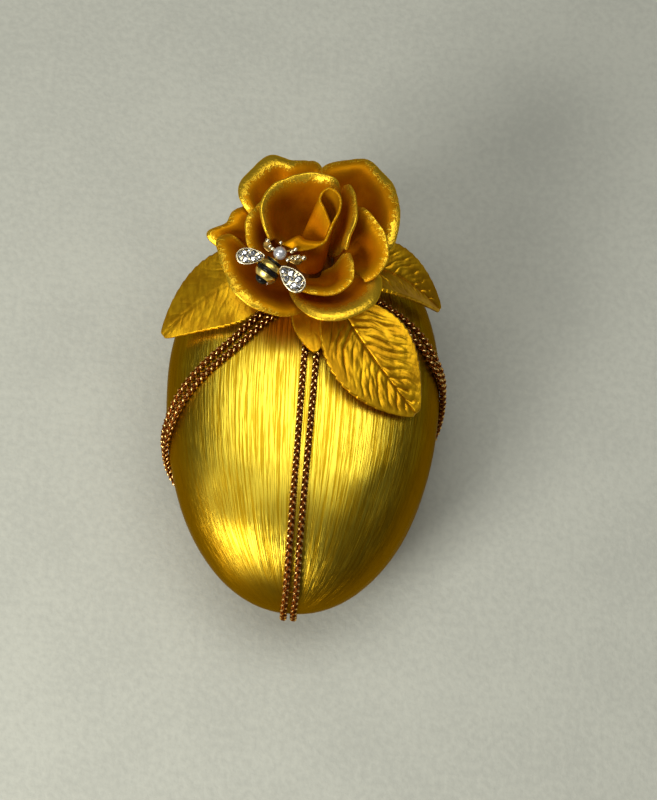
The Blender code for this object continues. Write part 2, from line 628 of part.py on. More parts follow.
def add_bee(metal, enamel, pearl, crystal, glue, rose):
    """The bee charm, in axes of its own: X towards the pearl, Z out of its face."""
    face = BEE_FACE.normalized()
    heading = (BEE_HEADING - face * BEE_HEADING.dot(face)).normalized()
    beside = face.cross(heading)
    turn = Matrix((heading, beside, face)).transposed().to_4x4()
    bee = add_empty("bee_axis", rose, Matrix.Translation(BEE_PLACE) @ turn)
    lie = axis_turn((1, 0, 0))
    body = turned("bee_body", [(r * MM, h * MM) for h, r in BEE_BODY_PROFILE], BEE_STEPS_ROUND, metal, bee)
    body.matrix_local = lie
    for name, place, width, groove in BEE_BANDS:
        inner = groove * MM + BEE_GAP
        outer = inner + BEE_BAND_THICKNESS
        half = width * MM / 2
        profile = [(inner, half), (outer, half), (outer, -half), (inner, -half)]
        band = turned(name, profile, BEE_STEPS_ROUND, enamel, bee)
        band.matrix_local = Matrix.Translation((place * MM, 0, 0)) @ lie
    dome = dome_profile(BEE_TAIL_RADIUS, BEE_TAIL_LENGTH, math.radians(90), BEE_TAIL_STEPS) + [(0.0, 0.0)]
    tail = turned("bee_tail_enamel", dome, BEE_STEPS_ROUND, enamel, bee)
    tail_end = BEE_BODY_PROFILE[-1][0] * MM - BEE_GAP
    tail.matrix_local = Matrix.Translation((tail_end, 0, 0)) @ axis_turn((-1, 0, 0))
    ball = dome_profile(PEARL_RADIUS, PEARL_RADIUS, math.pi, PEARL_STEPS)
    ball[-1] = (0.0, -PEARL_RADIUS)
    bead = turned("bee_pearl", ball, BEE_STEPS_ROUND, pearl, bee)
    bead.location = (BEE_BODY_PROFILE[0][0] * MM + BEE_GAP + PEARL_RADIUS, 0, PEARL_LIFT)
    for side, (inner, outer, half_width) in BEE_WINGS.items():
        add_plate(f"bee_wing_{side}", inner, outer, half_width, BEE_WING_HEIGHT, metal, bee)
        add_stones(side, inner, outer, half_width, crystal, bee)
    for side, (inner, outer, half_width) in BEE_FORE_WINGS.items():
        add_plate(f"bee_fore_wing_{side}", inner, outer, half_width, 0.0, metal, bee, GRANULES)
    drop = dome_profile(GLUE_RADIUS, GLUE_HALF_HEIGHT, math.pi, GLUE_STEPS)
    drop[-1] = (0.0, -GLUE_HALF_HEIGHT)
    dab = turned("bee_glue_dab", drop, GLUE_SIDES, glue, rose)
    dab.location = GLUE_PLACE


def add_stones(side, inner, outer, half_width, crystal, bee):
    """Cut stones on a wing: a flat table, a sloped crown and a short pavilion."""
    inner, outer = (Vector((*point, 0.0)) * MM for point in (inner, outer))
    heading = (outer - inner).normalized()
    beside = Vector((-heading.y, heading.x, 0.0))
    for number, (share, aside, radius) in enumerate(STONES, 1):
        girdle = radius * MM * half_width / BEE_WINGS["left"][2]
        profile = [(r * girdle, h * girdle) for r, h in STONE_PROFILE]
        stone = turned(f"bee_stone_{side}_{number}", profile, STONE_SIDES, crystal, bee, False)
        place = inner.lerp(outer, share) + beside * aside * half_width * MM
        place.z = BEE_WING_HEIGHT + BEE_WING_THICKNESS + BEE_GAP
        stone.location = place


def set_on_table(assembly):
    """Moves the assembly so that the origin is the middle of its footprint, on what it lies on."""
    bpy.context.view_layer.update()
    graph = bpy.context.evaluated_depsgraph_get()
    corners = []
    for piece in bpy.data.objects:
        if piece.type != "MESH" or piece.hide_render:
            continue
        evaluated = piece.evaluated_get(graph)
        mesh = evaluated.to_mesh()
        corners.extend(evaluated.matrix_world @ vertex.co for vertex in mesh.vertices)
        evaluated.to_mesh_clear()
    low = [min(corner[axis] for corner in corners) for axis in range(3)]
    high = [max(corner[axis] for corner in corners) for axis in range(3)]
    assembly.location = (-(low[0] + high[0]) / 2, -(low[1] + high[1]) / 2, EGG_MIDDLE_HEIGHT)


def main():
    clear_scene()
    gold_paint = finish("gold_paint", (0.60, 0.36, 0.03), 0.32, 0.9)
    petal_gold = finish("petal_gold", (0.52, 0.25, 0.01), 0.38, 0.6)
    leaf_gold = finish("leaf_gold", (0.48, 0.27, 0.02), 0.35, 0.8)
    bronze_cord = finish("bronze_cord", (0.16, 0.06, 0.015), 0.4, 0.7)
    clay = finish("clay_core", (0.45, 0.22, 0.02), 0.6, 0.0)
    bee_metal = finish("bee_gold", (0.62, 0.42, 0.10), 0.25, 1.0)
    black_enamel = finish("black_enamel", (0.006, 0.006, 0.006), 0.1, 0.0)
    pearl = finish("pearl", (0.75, 0.73, 0.70), 0.2, 0.0)
    crystal = finish("crystal", (0.8, 0.8, 0.8), 0.05, 0.0)
    glue = finish("clear_glue", (0.6, 0.5, 0.3), 0.2, 0.0)
    assembly = add_empty("egg_middle", None, Matrix.Identity(4))
    add_piece("egg_body", egg_mesh("egg_body"), gold_paint, assembly)
    add_cords(bronze_cord, assembly)
    rose = add_rose(petal_gold, clay, assembly)
    add_leaves(leaf_gold, assembly)
    add_bee(bee_metal, black_enamel, pearl, crystal, glue, rose)
    set_on_table(assembly)


main()
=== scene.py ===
"""The looks of a gold painted egg that is dressed with braided cord, a rose, four leaves and a bee charm.

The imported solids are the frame. Every piece is built in their axes, in metres, with +Z up out of the front.
"""

import math

import bmesh
import bpy
from mathutils import Matrix, Vector, noise


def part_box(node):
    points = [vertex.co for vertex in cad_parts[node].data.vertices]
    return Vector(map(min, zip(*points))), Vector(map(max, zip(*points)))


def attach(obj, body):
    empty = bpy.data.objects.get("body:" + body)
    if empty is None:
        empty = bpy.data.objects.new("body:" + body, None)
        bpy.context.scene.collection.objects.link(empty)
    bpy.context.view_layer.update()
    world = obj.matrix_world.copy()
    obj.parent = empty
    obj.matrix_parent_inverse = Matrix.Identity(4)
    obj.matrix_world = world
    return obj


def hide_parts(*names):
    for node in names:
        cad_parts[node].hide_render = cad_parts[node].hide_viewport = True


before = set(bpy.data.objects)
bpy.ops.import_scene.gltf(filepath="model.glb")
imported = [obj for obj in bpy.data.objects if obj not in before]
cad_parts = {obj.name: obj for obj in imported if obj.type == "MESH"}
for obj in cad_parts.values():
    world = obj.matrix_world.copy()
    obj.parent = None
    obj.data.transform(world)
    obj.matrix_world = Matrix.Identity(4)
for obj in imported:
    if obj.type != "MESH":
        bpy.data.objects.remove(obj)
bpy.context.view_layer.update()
MM = 0.001

# The egg blank: a solid egg, flattened front to back and a little uneven under the hand. It is brushed from
# end to end with metallic gold paint, and the strokes stay in the paint.
EGG_HALF_WIDTH = 22.4 * MM
EGG_HALF_DEPTH = 13.0 * MM
EGG_NARROW_REACH = 37.5 * MM
EGG_BROAD_REACH = 30.6 * MM
EGG_NARROW_FULLNESS = 2.15
EGG_SECTION_POWER = 2.5
EGG_STEPS_ROUND = 240
EGG_STEPS_LONG = 150
EGG_UNEVEN = 0.09 * MM
EGG_UNEVEN_SPAN = 11 * MM
# Dents in the front: (across, along) from the egg's middle in mm, radius in mm, depth in mm. A depth below 0
# is a swelling.
EGG_DENTS = [
    (15.0, -20.5, 4.0, 0.34), (11.5, -26.5, 3.6, 0.28), (-10.5, -20.5, 3.6, 0.30), (-8.5, -26.5, 4.5, -0.16),
    (14.0, -12.5, 3.6, -0.16), (10.5, -18.0, 3.4, -0.18), (7.0, -24.0, 3.2, -0.14),
    (13.6, -17.5, 1.5, 0.12), (12.6, -20.0, 1.5, 0.13), (11.6, -22.5, 1.5, 0.12),
]
STROKE_STRETCH = (84.0, 84.0, 60.0)
FINE_STROKE_STRETCH = (190.0, 190.0, 240.0)
STROKE_SHARE = 0.6
STROKE_DEPTH = 0.09 * MM
CLOUD_RATE = 160.0
COAT_CLOUD = 0.12
COAT_SPAN = (0.45, 0.55)
# Painted shade: the gold turns dark brown towards the egg's sides and ends. How far that edge wavers, the
# span of facing over which it fades in, and its dark colour.
SIDE_SHADE_CLOUD = 0.15
SIDE_SHADE_SPAN = (0.46, 1.02)
GOLD_SIDE_SHADE = (0.29, 0.142, 0.0030, 1.0)
GOLD_DEEP = (0.49, 0.30, 0.008, 1.0)
GOLD_BRIGHT = (0.93, 0.71, 0.062, 1.0)
GOLD_EDGE = (0.70, 0.54, 0.17, 1.0)

egg_low, egg_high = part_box("egg_body")
egg_middle = (egg_low + egg_high) / 2
egg_middle.y = egg_low.y + EGG_NARROW_REACH


class Wire:
    """A socket of a node tree. Sums on it add Math nodes, and node() adds any other kind of node."""

    def __init__(self, tree, socket=None):
        self.tree = tree
        self.socket = socket

    def node(self, kind, settings, inputs, output=0):
        """Adds a node: its settings first, then the values or links of its sockets. Gives one output."""
        made = self.tree.nodes.new(kind)
        for name, value in settings.items():
            setattr(made, name, value)
        for key, value in inputs.items():
            if isinstance(value, Wire):
                self.tree.links.new(value.socket, made.inputs[key])
            else:
                made.inputs[key].default_value = value
        return Wire(self.tree, made.outputs[output])

    def math(self, operation, first, second):
        return self.node("ShaderNodeMath", {"operation": operation}, {0: first, 1: second})

    def vector(self, operation, inputs):
        return self.node("ShaderNodeVectorMath", {"operation": operation}, inputs)

    def __add__(self, other):
        return self.math("ADD", self, other)

    def __sub__(self, other):
        return self.math("SUBTRACT", self, other)

    def __rsub__(self, other):
        return self.math("SUBTRACT", other, self)

    def __mul__(self, other):
        return self.math("MULTIPLY", self, other)

    def __truediv__(self, other):
        return self.math("DIVIDE", self, other)

    __radd__ = __add__


def finish(name, constants, varying):
    """A Principled material. What is the same all over goes on its sockets, and varying() gives the rest."""
    made = bpy.data.materials.new(name)
    made.use_nodes = True
    shader = made.node_tree.nodes["Principled BSDF"]
    for socket, value in constants.items():
        shader.inputs[socket].default_value = value
    for socket, wire in varying(Wire(made.node_tree)).items():
        made.node_tree.links.new(wire.socket, shader.inputs[socket])
    return made


def mark(start, name, output="Fac"):
    """A value that a piece's mesh carries."""
    return start.node("ShaderNodeAttribute", {"attribute_name": name}, {}, output)


def stretched(place, scale):
    return place.vector("MULTIPLY", {0: place, 1: scale})


def grain(place, scale, detail):
    return place.node("ShaderNodeTexNoise", {}, {"Vector": place, "Scale": scale, "Detail": detail})


def between(value, low, high):
    """0 at low, 1 at high and smooth on the way."""
    settings = {"interpolation_type": "SMOOTHSTEP"}
    return value.node("ShaderNodeMapRange", settings, {"Value": value, "From Min": low, "From Max": high})


def tint(mask, first, second):
    """The first colour where the mask is 0 and the second where it is 1."""
    return mask.node("ShaderNodeMix", {"data_type": "RGBA"}, {0: mask, 6: first, 7: second}, 2)


def relief(height, depth):
    return height.node("ShaderNodeBump", {}, {"Height": height, "Distance": depth, "Strength": 1.0})


def object_place(start):
    return start.node("ShaderNodeTexCoord", {}, {}, "Object")


def add_marks(mesh, marks):
    """Gives a mesh named values, one for each of its corners."""
    for label, values in marks.items():
        if isinstance(values[0], Vector):
            layer = mesh.attributes.new(label, "FLOAT_VECTOR", "POINT")
            layer.data.foreach_set("vector", [number for value in values for number in value])
        else:
            layer = mesh.attributes.new(label, "FLOAT", "POINT")
            layer.data.foreach_set("value", values)


def new_object(name, data):
    made = bpy.data.objects.new(name, data)
    bpy.context.collection.objects.link(made)
    return made


def new_piece(name, corners, faces, material, marks=None):
    """A smooth closed mesh with its faces outward. marks holds values for each corner."""
    mesh = bpy.data.meshes.new(name)
    mesh.from_pydata(corners, [], faces)
    add_marks(mesh, marks or {})
    shape = bmesh.new()
    shape.from_mesh(mesh)
    bmesh.ops.recalc_face_normals(shape, faces=shape.faces)
    shape.to_mesh(mesh)
    shape.free()
    mesh.shade_smooth()
    mesh.materials.append(material)
    return new_object(name, mesh)


def round_steps(count):
    """The cosine and the sine of even steps round a circle."""
    turns = [math.tau * step / count for step in range(count)]
    return [(math.cos(turn), math.sin(turn)) for turn in turns]


def ringed(name, rings, material, marks=None, loop=False):
    """A closed body through rings of points. A ring of one point closes an end, and a loop has no ends."""
    starts = [sum(len(ring) for ring in rings[:number]) for number in range(len(rings))]
    order = list(range(len(rings))) + ([0] if loop else [])
    faces = []
    for near, far in zip(order, order[1:]):
        wide, deep = len(rings[near]), len(rings[far])
        steps = max(wide, deep)
        for step in range(steps):
            after = (step + 1) % steps
            face = [starts[near] + step % wide, starts[near] + after % wide]
            face += [starts[far] + after % deep, starts[far] + step % deep]
            faces.append(list(dict.fromkeys(face)))
    return new_piece(name, [point for ring in rings for point in ring], faces, material, marks)


def fit(piece, slot, *nodes):
    """Fixes a piece to the egg's one body and hides the solids that it stands for."""
    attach(piece, "root")
    if nodes:
        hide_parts(*nodes)


def egg_section(y):
    """The share of the widest section that the egg has at station y."""
    if y > 0:
        return math.sqrt(max(0.0, 1 - (y / EGG_BROAD_REACH) ** 2))
    return math.sqrt(max(0.0, 1 - (-y / EGG_NARROW_REACH) ** EGG_NARROW_FULLNESS))


def egg_normal(point):
    """The outward direction of the egg's surface at a point on it, from the egg's middle."""
    x, y, z = point
    reach, power = (EGG_BROAD_REACH, 2.0) if y > 0 else (EGG_NARROW_REACH, EGG_NARROW_FULLNESS)
    square = EGG_SECTION_POWER
    across = abs(x) ** (square - 1) / EGG_HALF_WIDTH**square
    length = egg_section(y) ** (square - 2) * power * abs(y) ** (power - 1) / (2 * reach**power)
    depth = abs(z) ** (square - 1) / EGG_HALF_DEPTH**square
    return Vector((math.copysign(across, x), math.copysign(length, y), math.copysign(depth, z))).normalized()


def egg_depth(across, section):
    """How deep the egg is beside its middle line, where its section has a share of the widest."""
    left = section**EGG_SECTION_POWER - (abs(across) / EGG_HALF_WIDTH) ** EGG_SECTION_POWER
    return EGG_HALF_DEPTH * max(0.0, left) ** (1 / EGG_SECTION_POWER)


def egg_hollow(point):
    """How far the hand-worked surface lies from the true egg."""
    hollow = EGG_UNEVEN * noise.noise(point / EGG_UNEVEN_SPAN)
    if point.z > 0:
        for across, length, radius, depth in EGG_DENTS:
            away = math.hypot(point.x / MM - across, point.y / MM - length) / radius
            hollow -= depth * MM * math.exp(-away * away)
    return hollow


def gold_paint(start):
    brush = mark(start, "brush", "Vector")
    strokes = grain(stretched(brush, STROKE_STRETCH), 1.0, 3.0)
    hairs = grain(stretched(brush, FINE_STROKE_STRETCH), 1.0, 2.0)
    cloud = grain(object_place(start), CLOUD_RATE, 3.0) - 0.5
    height = strokes * STROKE_SHARE + hairs * (1 - STROKE_SHARE)
    coat = between(height + cloud * COAT_CLOUD, *COAT_SPAN)
    # Painted shade: where the surface faces away from the front, at the sides and ends, the base colour turns
    # dark brown.
    front_unshaded = between(mark(start, "facing") + cloud * SIDE_SHADE_CLOUD, *SIDE_SHADE_SPAN)
    return {
        "Base Color": tint(front_unshaded, GOLD_SIDE_SHADE, tint(coat, GOLD_DEEP, GOLD_BRIGHT)),
        "Roughness": 0.36 - coat * 0.08,
        "Normal": relief(height, STROKE_DEPTH),
    }


gold_paint_finish = finish("gold_paint", {"Metallic": 1.0, "Specular Tint": GOLD_EDGE}, gold_paint)
egg_rings = []
brush_marks = []
facing_marks = []
for level in range(EGG_STEPS_LONG + 1):
    lift = math.pi * (level / EGG_STEPS_LONG - 0.5)
    length = (EGG_BROAD_REACH if lift > 0 else EGG_NARROW_REACH) * math.sin(lift)
    section = egg_section(length)
    at_end = level in (0, EGG_STEPS_LONG)
    ring = []
    for up, aside in round_steps(1 if at_end else EGG_STEPS_ROUND):
        way = [math.copysign(abs(part) ** (2 / EGG_SECTION_POWER), part) for part in (aside, up)]
        place = Vector((EGG_HALF_WIDTH * section * way[0], length, EGG_HALF_DEPTH * section * way[1]))
        ring.append(egg_middle + place + egg_normal(place) * egg_hollow(place))
        brush_marks.append(Vector((way[0], way[1], length)))
        # How far the surface faces the front. The paint uses it for its painted shade at the sides and ends.
        facing_marks.append(abs(way[1]) * math.sqrt(section))
    egg_rings.append(ring)
egg = ringed("painted_egg", egg_rings, gold_paint_finish, {"brush": brush_marks, "facing": facing_marks})
fit(egg, "gold_paint", "egg_body")

# The cords: metallic bronze thread, four strands plaited over and under each other round a dark filler. One
# pair is glued lengthwise round the egg, the other slantwise round its girth, over the first at the back.
CORD_DIAMETER = 1.25 * MM
GAP = 0.3 * MM
CORD_GUIDE_POINTS = 240
# Lengthwise routes: (angle round the length in degrees, distance across in mm).
LONG_CORD_LEFT = [
    (75, 0.3), (90, 0.0), (130, -0.7), (160, -1.1), (180, -1.35), (225, -1.2), (270, -1.05),
    (320, -1.0), (398, -0.9),
]
LONG_CORD_RIGHT = [
    (75, 2.25), (90, 1.9), (130, 0.9), (160, 0.5), (180, 0.2), (225, 0.45), (270, 1.05), (320, 1.1),
    (400.5, 0.9),
]
# Girth route: (angle round the girth in degrees, distance towards the broad end in mm).
GIRTH_ROUTE = [
    (-13, 9.4), (-20, 6.9), (-31, 2.8), (-44, -0.9), (-58, -4.9), (-72, -8.8), (-90, -12.0),
    (-120, -16.2), (-150, -20.3), (-180, -22.0), (-210, -17.5), (-240, -8.6), (-270, -1.0),
    (-290, 2.8), (-300, 5.4), (-310, 7.7), (-322, 9.9), (-336, 12.5),
]
CORD_SINK = 0.33 * MM
CORD_SINK_FROM = -0.8
CORD_SINK_SPAN = 0.5
GIRTH_LIFT_FULL = 2.6 * MM
GIRTH_LIFT_END = 7.5 * MM
ROUTE_STEP = 0.004
PLAIT_SIZES = {
    "Strand Radius": 0.20 * MM,
    "Lay Radius": 0.31 * MM,
    "Weave": 0.11 * MM,
    "Plait Length": 2.3 * MM,
    "Filler Radius": 0.34 * MM,
    "Step": 0.11 * MM,
}
STRAND_SIDES = 6
# The thread's dark bronze, and a bright colour painted on each strand's crest as a glint.
THREAD_DARK = (0.17, 0.042, 0.004, 1.0)
THREAD_CROWN_GLINT = (1.0, 0.66, 0.22, 1.0)
THREAD_EDGE = (0.90, 0.50, 0.20, 1.0)
FIBRE_RATE = 5200.0
FIBRE_DEPTH = 0.03 * MM


def along(stations, share):
    """A point on the smooth curve through the stations, at a share of the way along it."""
    place = share * (len(stations) - 1)
    index = min(int(place), len(stations) - 2)
    rest = place - index
    here, there = Vector(stations[index]), Vector(stations[index + 1])
    before = Vector(stations[index - 1]) if index else here * 2 - there
    after = Vector(stations[index + 2]) if index + 2 < len(stations) else there * 2 - here
    slope_in, slope_out = (there - before) / 2, (after - here) / 2
    square, cube = rest**2, rest**3
    return (
        here * (2 * cube - 3 * square + 1)
        + slope_in * (cube - 2 * square + rest)
        + there * (3 * square - 2 * cube)
        + slope_out * (cube - square)
    )


def smooth_step(value):
    value = min(1.0, max(0.0, value))
    return value * value * (3 - 2 * value)


def cord_stand(surface):
    """How far a cord's middle stands off the egg. It is pressed closer everywhere but at the back."""
    sink = smooth_step((surface.z / EGG_HALF_DEPTH - CORD_SINK_FROM) / CORD_SINK_SPAN)
    return CORD_DIAMETER / 2 + GAP - CORD_SINK * sink


def long_cord_path(route):
    """Centres of a strand that runs lengthwise round the egg, with the way out of the egg at each."""
    path = []
    for step in range(CORD_GUIDE_POINTS):
        turn, across = along(route, step / (CORD_GUIDE_POINTS - 1))
        turn, across = math.radians(turn), across * MM
        share = math.sqrt(1 - (across / EGG_HALF_WIDTH) ** 2)
        broad = math.cos(turn) > 0
        reach, power = (EGG_BROAD_REACH, 2.0) if broad else (EGG_NARROW_REACH, EGG_NARROW_FULLNESS)
        length = math.copysign(reach * (share * abs(math.cos(turn))) ** (2 / power), math.cos(turn))
        section = math.hypot(across / EGG_HALF_WIDTH, share * math.sin(turn))
        surface = Vector((across, length, math.copysign(egg_depth(across, section), math.sin(turn))))
        outward = egg_normal(surface)
        path.append((egg_middle + surface + outward * cord_stand(surface), outward))
    return path


def girth_point(share):
    turn, length = along(GIRTH_ROUTE, share)
    turn, length = math.radians(turn), length * MM
    section = egg_section(length)
    across = EGG_HALF_WIDTH * section * math.sin(turn)
    return Vector((across, length, math.copysign(egg_depth(across, section), math.cos(turn))))


def girth_cord_path(side):
    """Centres of a strand round the girth, to one side of the route, with the way out of the egg at each."""
    path = []
    spread = (CORD_DIAMETER + GAP) / 2 * side
    for step in range(CORD_GUIDE_POINTS):
        share = step / (CORD_GUIDE_POINTS - 1)
        surface = girth_point(share)
        heading = girth_point(min(1.0, share + ROUTE_STEP)) - girth_point(max(0.0, share - ROUTE_STEP))
        surface = surface + egg_normal(surface).cross(heading.normalized()) * spread
        fade = (abs(surface.x) - GIRTH_LIFT_FULL) / (GIRTH_LIFT_END - GIRTH_LIFT_FULL)
        lift = (CORD_DIAMETER + GAP) * smooth_step(1 - fade) if surface.z < 0 else 0.0
        outward = egg_normal(surface)
        path.append((egg_middle + surface + outward * (cord_stand(surface) + lift), outward))
    return path


def new_tree(name, sizes, shapes=()):
    """A Geometry Nodes tree with named sizes, shapes and a material, and its inputs by name."""
    tree = bpy.data.node_groups.new(name, "GeometryNodeTree")
    kinds = {"Guide": "Geometry", **dict.fromkeys(sizes, "Float"), **dict.fromkeys(shapes, "Object")}
    kinds["Finish"] = "Material"
    for label, kind in kinds.items():
        tree.interface.new_socket(label, in_out="INPUT", socket_type=f"NodeSocket{kind}")
    tree.interface.new_socket("Piece", in_out="OUTPUT", socket_type="NodeSocketGeometry")
    entry = tree.nodes.new("NodeGroupInput")
    return tree, {socket.name: Wire(tree, socket) for socket in entry.outputs if socket.name}


def close_tree(tree, parts, material, smooth=True):
    """Joins the parts, makes them real and gives them their material at the end of a tree."""
    join = tree.nodes.new("GeometryNodeJoinGeometry")
    for part in parts:
        tree.links.new(part.socket, join.inputs[0])
    ready = Wire(tree, join.outputs[0])
    if smooth:
        ready = ready.node("GeometryNodeSetShadeSmooth", {}, {"Geometry": ready})
    ready = ready.node("GeometryNodeRealizeInstances", {}, {0: ready})
    ready = ready.node("GeometryNodeSetMaterial", {}, {"Geometry": ready, "Material": material})
    exit_node = tree.nodes.new("NodeGroupOutput")
    tree.links.new(ready.socket, exit_node.inputs[0])


def grown(name, guide_points, guide_edges, marks, tree, values):
    """The plain mesh that a tree grows on a guide's points or edges, as a piece."""
    guide = bpy.data.meshes.new(name)
    guide.from_pydata(guide_points, guide_edges, [])
    add_marks(guide, marks)
    holder = new_object(name, guide)
    grow = holder.modifiers.new("Grow", "NODES")
    grow.node_group = tree
    for item in tree.interface.items_tree:
        if item.in_out == "INPUT" and item.name in values:
            grow[item.identifier] = values[item.name]
    bpy.context.view_layer.update()
    graph = bpy.context.evaluated_depsgraph_get()
    mesh = bpy.data.meshes.new_from_object(holder.evaluated_get(graph))
    bpy.data.objects.remove(holder)
    mesh.name = name
    return new_object(name, mesh)


def tube(start, line, radius):
    """A round tube along a line, closed at both ends."""
    sizes = {"Resolution": STRAND_SIDES, "Radius": radius}
    outline = start.node("GeometryNodeCurvePrimitiveCircle", {}, sizes)
    sockets = {"Curve": line, "Profile Curve": outline, "Fill Caps": True}
    return start.node("GeometryNodeCurveToMesh", {}, sockets)


def plait_tree():
    """Four strands that pass over and under each other round a filler, kept above the surface below."""
    tree, sizes = new_tree("plaited_cord", PLAIT_SIZES)
    start = Wire(tree)
    line = start.node("GeometryNodeMeshToCurve", {}, {0: sizes["Guide"]})
    even = {"Curve": line, "Length": sizes["Step"]}
    line = start.node("GeometryNodeResampleCurve", {"mode": "LENGTH"}, even)
    run = start.node("GeometryNodeSplineParameter", {}, {}, "Length")
    tangent = start.node("GeometryNodeInputTangent", {}, {})
    named = {"data_type": "FLOAT_VECTOR"}
    outward = start.node("GeometryNodeInputNamedAttribute", named, {"Name": "outward"})
    beside = start.vector("NORMALIZE", {0: start.vector("CROSS_PRODUCT", {0: tangent, 1: outward})})
    turn = run * math.tau / sizes["Plait Length"]
    strands = []
    for direction in (1.0, -1.0):
        over = start.math("COSINE", turn * 2.0, 0.0) * direction
        reach = sizes["Lay Radius"] + sizes["Weave"] * over
        for phase in (0.0, math.pi):
            angle = turn * direction + (phase + math.pi / 4)
            out = start.math("COSINE", angle, 0.0) * reach
            aside = start.math("SINE", angle, 0.0) * reach
            out = start.vector("SCALE", {0: outward, "Scale": out})
            aside = start.vector("SCALE", {0: beside, "Scale": aside})
            offset = start.vector("ADD", {0: out, 1: aside})
            kept = {"Geometry": line, "Name": "crown", "Value": over}
            crown = start.node("GeometryNodeStoreNamedAttribute", {}, kept)
            strands.append(start.node("GeometryNodeSetPosition", {}, {"Geometry": crown, "Offset": offset}))
    tubes = [tube(start, strand, sizes["Strand Radius"]) for strand in strands]
    tubes.append(tube(start, line, sizes["Filler Radius"]))
    place = start.node("GeometryNodeInputPosition", {}, {})
    split = place.node("ShaderNodeSeparateXYZ", {}, {0: place}).socket.node
    x, y, z = (Wire(tree, split.outputs[axis]) for axis in "XYZ")
    flat = start.node("ShaderNodeCombineXYZ", {}, {0: x, 1: y, 2: start.math("MAXIMUM", z, 0.0)})
    moves = [{"Geometry": part, "Position": flat} for part in tubes]
    laid = [start.node("GeometryNodeSetPosition", {}, move) for move in moves]
    close_tree(tree, laid, sizes["Finish"])
    return tree


def bronze_thread(start):
    # Painted glint: the base colour turns bright on each strand's crest, where it passes over the others, all
    # round the cord.
    crown = between(mark(start, "crown"), 0.55, 1.0)
    fibre = grain(object_place(start), FIBRE_RATE, 2.0)
    return {
        "Base Color": tint(crown + (fibre - 0.5) * 0.3, THREAD_DARK, THREAD_CROWN_GLINT),
        "Roughness": 0.36 - crown * 0.18,
        "Normal": relief(fibre, FIBRE_DEPTH),
    }


thread_gloss = {"Metallic": 0.95, "Specular Tint": THREAD_EDGE}
bronze_thread_finish = finish("bronze_thread", thread_gloss, bronze_thread)
plaited = plait_tree()
cord_paths = {
    "lengthwise_cord_left": long_cord_path(LONG_CORD_LEFT),
    "lengthwise_cord_right": long_cord_path(LONG_CORD_RIGHT),
    "girth_cord_upper": girth_cord_path(-1),
    "girth_cord_lower": girth_cord_path(1),
}
for node, path in cord_paths.items():
    centres, ways = zip(*path)
    values = {**PLAIT_SIZES, "Finish": bronze_thread_finish}
    links = [(step, step + 1) for step in range(len(centres) - 1)]
    cord = grown(f"plaited_{node}", centres, links, {"outward": ways}, plaited, values)
    fit(cord, "bronze_cord", node)

# The rose's bed and core: a pad of clay, pressed on the egg by hand and dabbed with gold, and the clay ball
# that the petals are pressed on. The ball hardly shows, so its solid keeps its shape. Its clay is made very
# dark, painted shade where it shows in the gaps between the petals.
ROSE_X = 0.2 * MM
ROSE_Y = 15.5 * MM
ROSE_TILT = math.radians(11)
BED_RISE = 2.1 * MM
CORE_RADIUS = 3.8 * MM
CORE_STANDS = 2.0 * MM
BED_RADIUS = 6.9 * MM
# The bed's section from the middle of its top to its edge: share of the radius, depth below the top in mm.
BED_SECTION = [(0.0, 0.0), (0.5, 0.0), (0.82, 0.05), (0.94, 0.35), (0.99, 0.9), (1.01, 1.5)]
BED_FOOT_SHARES = [1.03, 0.7, 0.35, 0.0]
BED_STEPS = 96
BED_LUMP = 0.07
BED_LUMP_RATE = 1.6
BED_LUMP_LAYER = 2.0
LUMP_RATE = 420.0
LUMP_DEPTH = 0.5 * MM
DAB_RATE = 1700.0
# The core's very dark clay colours: painted shade for the gaps between the petals.
CORE_SHADE_DEEP = (0.11, 0.03, 0.0006, 1.0)
CORE_SHADE_PALE = (0.24, 0.075, 0.0012, 1.0)
BED_AMBER = (0.30, 0.10, 0.0010, 1.0)
BED_GOLD = (0.56, 0.30, 0.0060, 1.0)
rose_seat = egg_middle + Vector((ROSE_X, ROSE_Y, egg_depth(ROSE_X, egg_section(ROSE_Y))))
rose_axis = Vector((0.0, math.sin(ROSE_TILT), math.cos(ROSE_TILT)))
rose_place = Matrix.Translation(rose_seat + rose_axis * (BED_RISE + CORE_STANDS))
rose_place = rose_place @ Matrix.Rotation(-ROSE_TILT, 4, "X")


def mottled(name, constants, colours, rate, roughness, span=(0.35, 0.65), detail=3.0, depth=None):
    """A finish that wavers between two colours. roughness is its start and rise, and depth its relief."""

    def varying(start):
        cloud = grain(object_place(start), rate, detail)
        mask = between(cloud, *span) if span else cloud
        sockets = {"Base Color": tint(mask, *colours), "Roughness": roughness[0] + cloud * roughness[1]}
        if depth:
            sockets["Normal"] = relief(cloud, depth)
        return sockets

    return finish(name, constants, varying)


def paint_solid(node, material):
    """Gives its finish to a solid that keeps its shape."""
    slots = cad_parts[node].data.materials
    slots.clear()
    slots.append(material)


def painted_clay(start):
    lumps = grain(object_place(start), LUMP_RATE, 4.0)
    dabs = grain(object_place(start), DAB_RATE, 3.0)
    return {
        "Base Color": tint(between(lumps * 0.6 + dabs * 0.4, 0.40, 0.62), BED_AMBER, BED_GOLD),
        "Roughness": 0.36 + dabs * 0.25,
        "Normal": relief(lumps + dabs * 0.3, LUMP_DEPTH),
    }


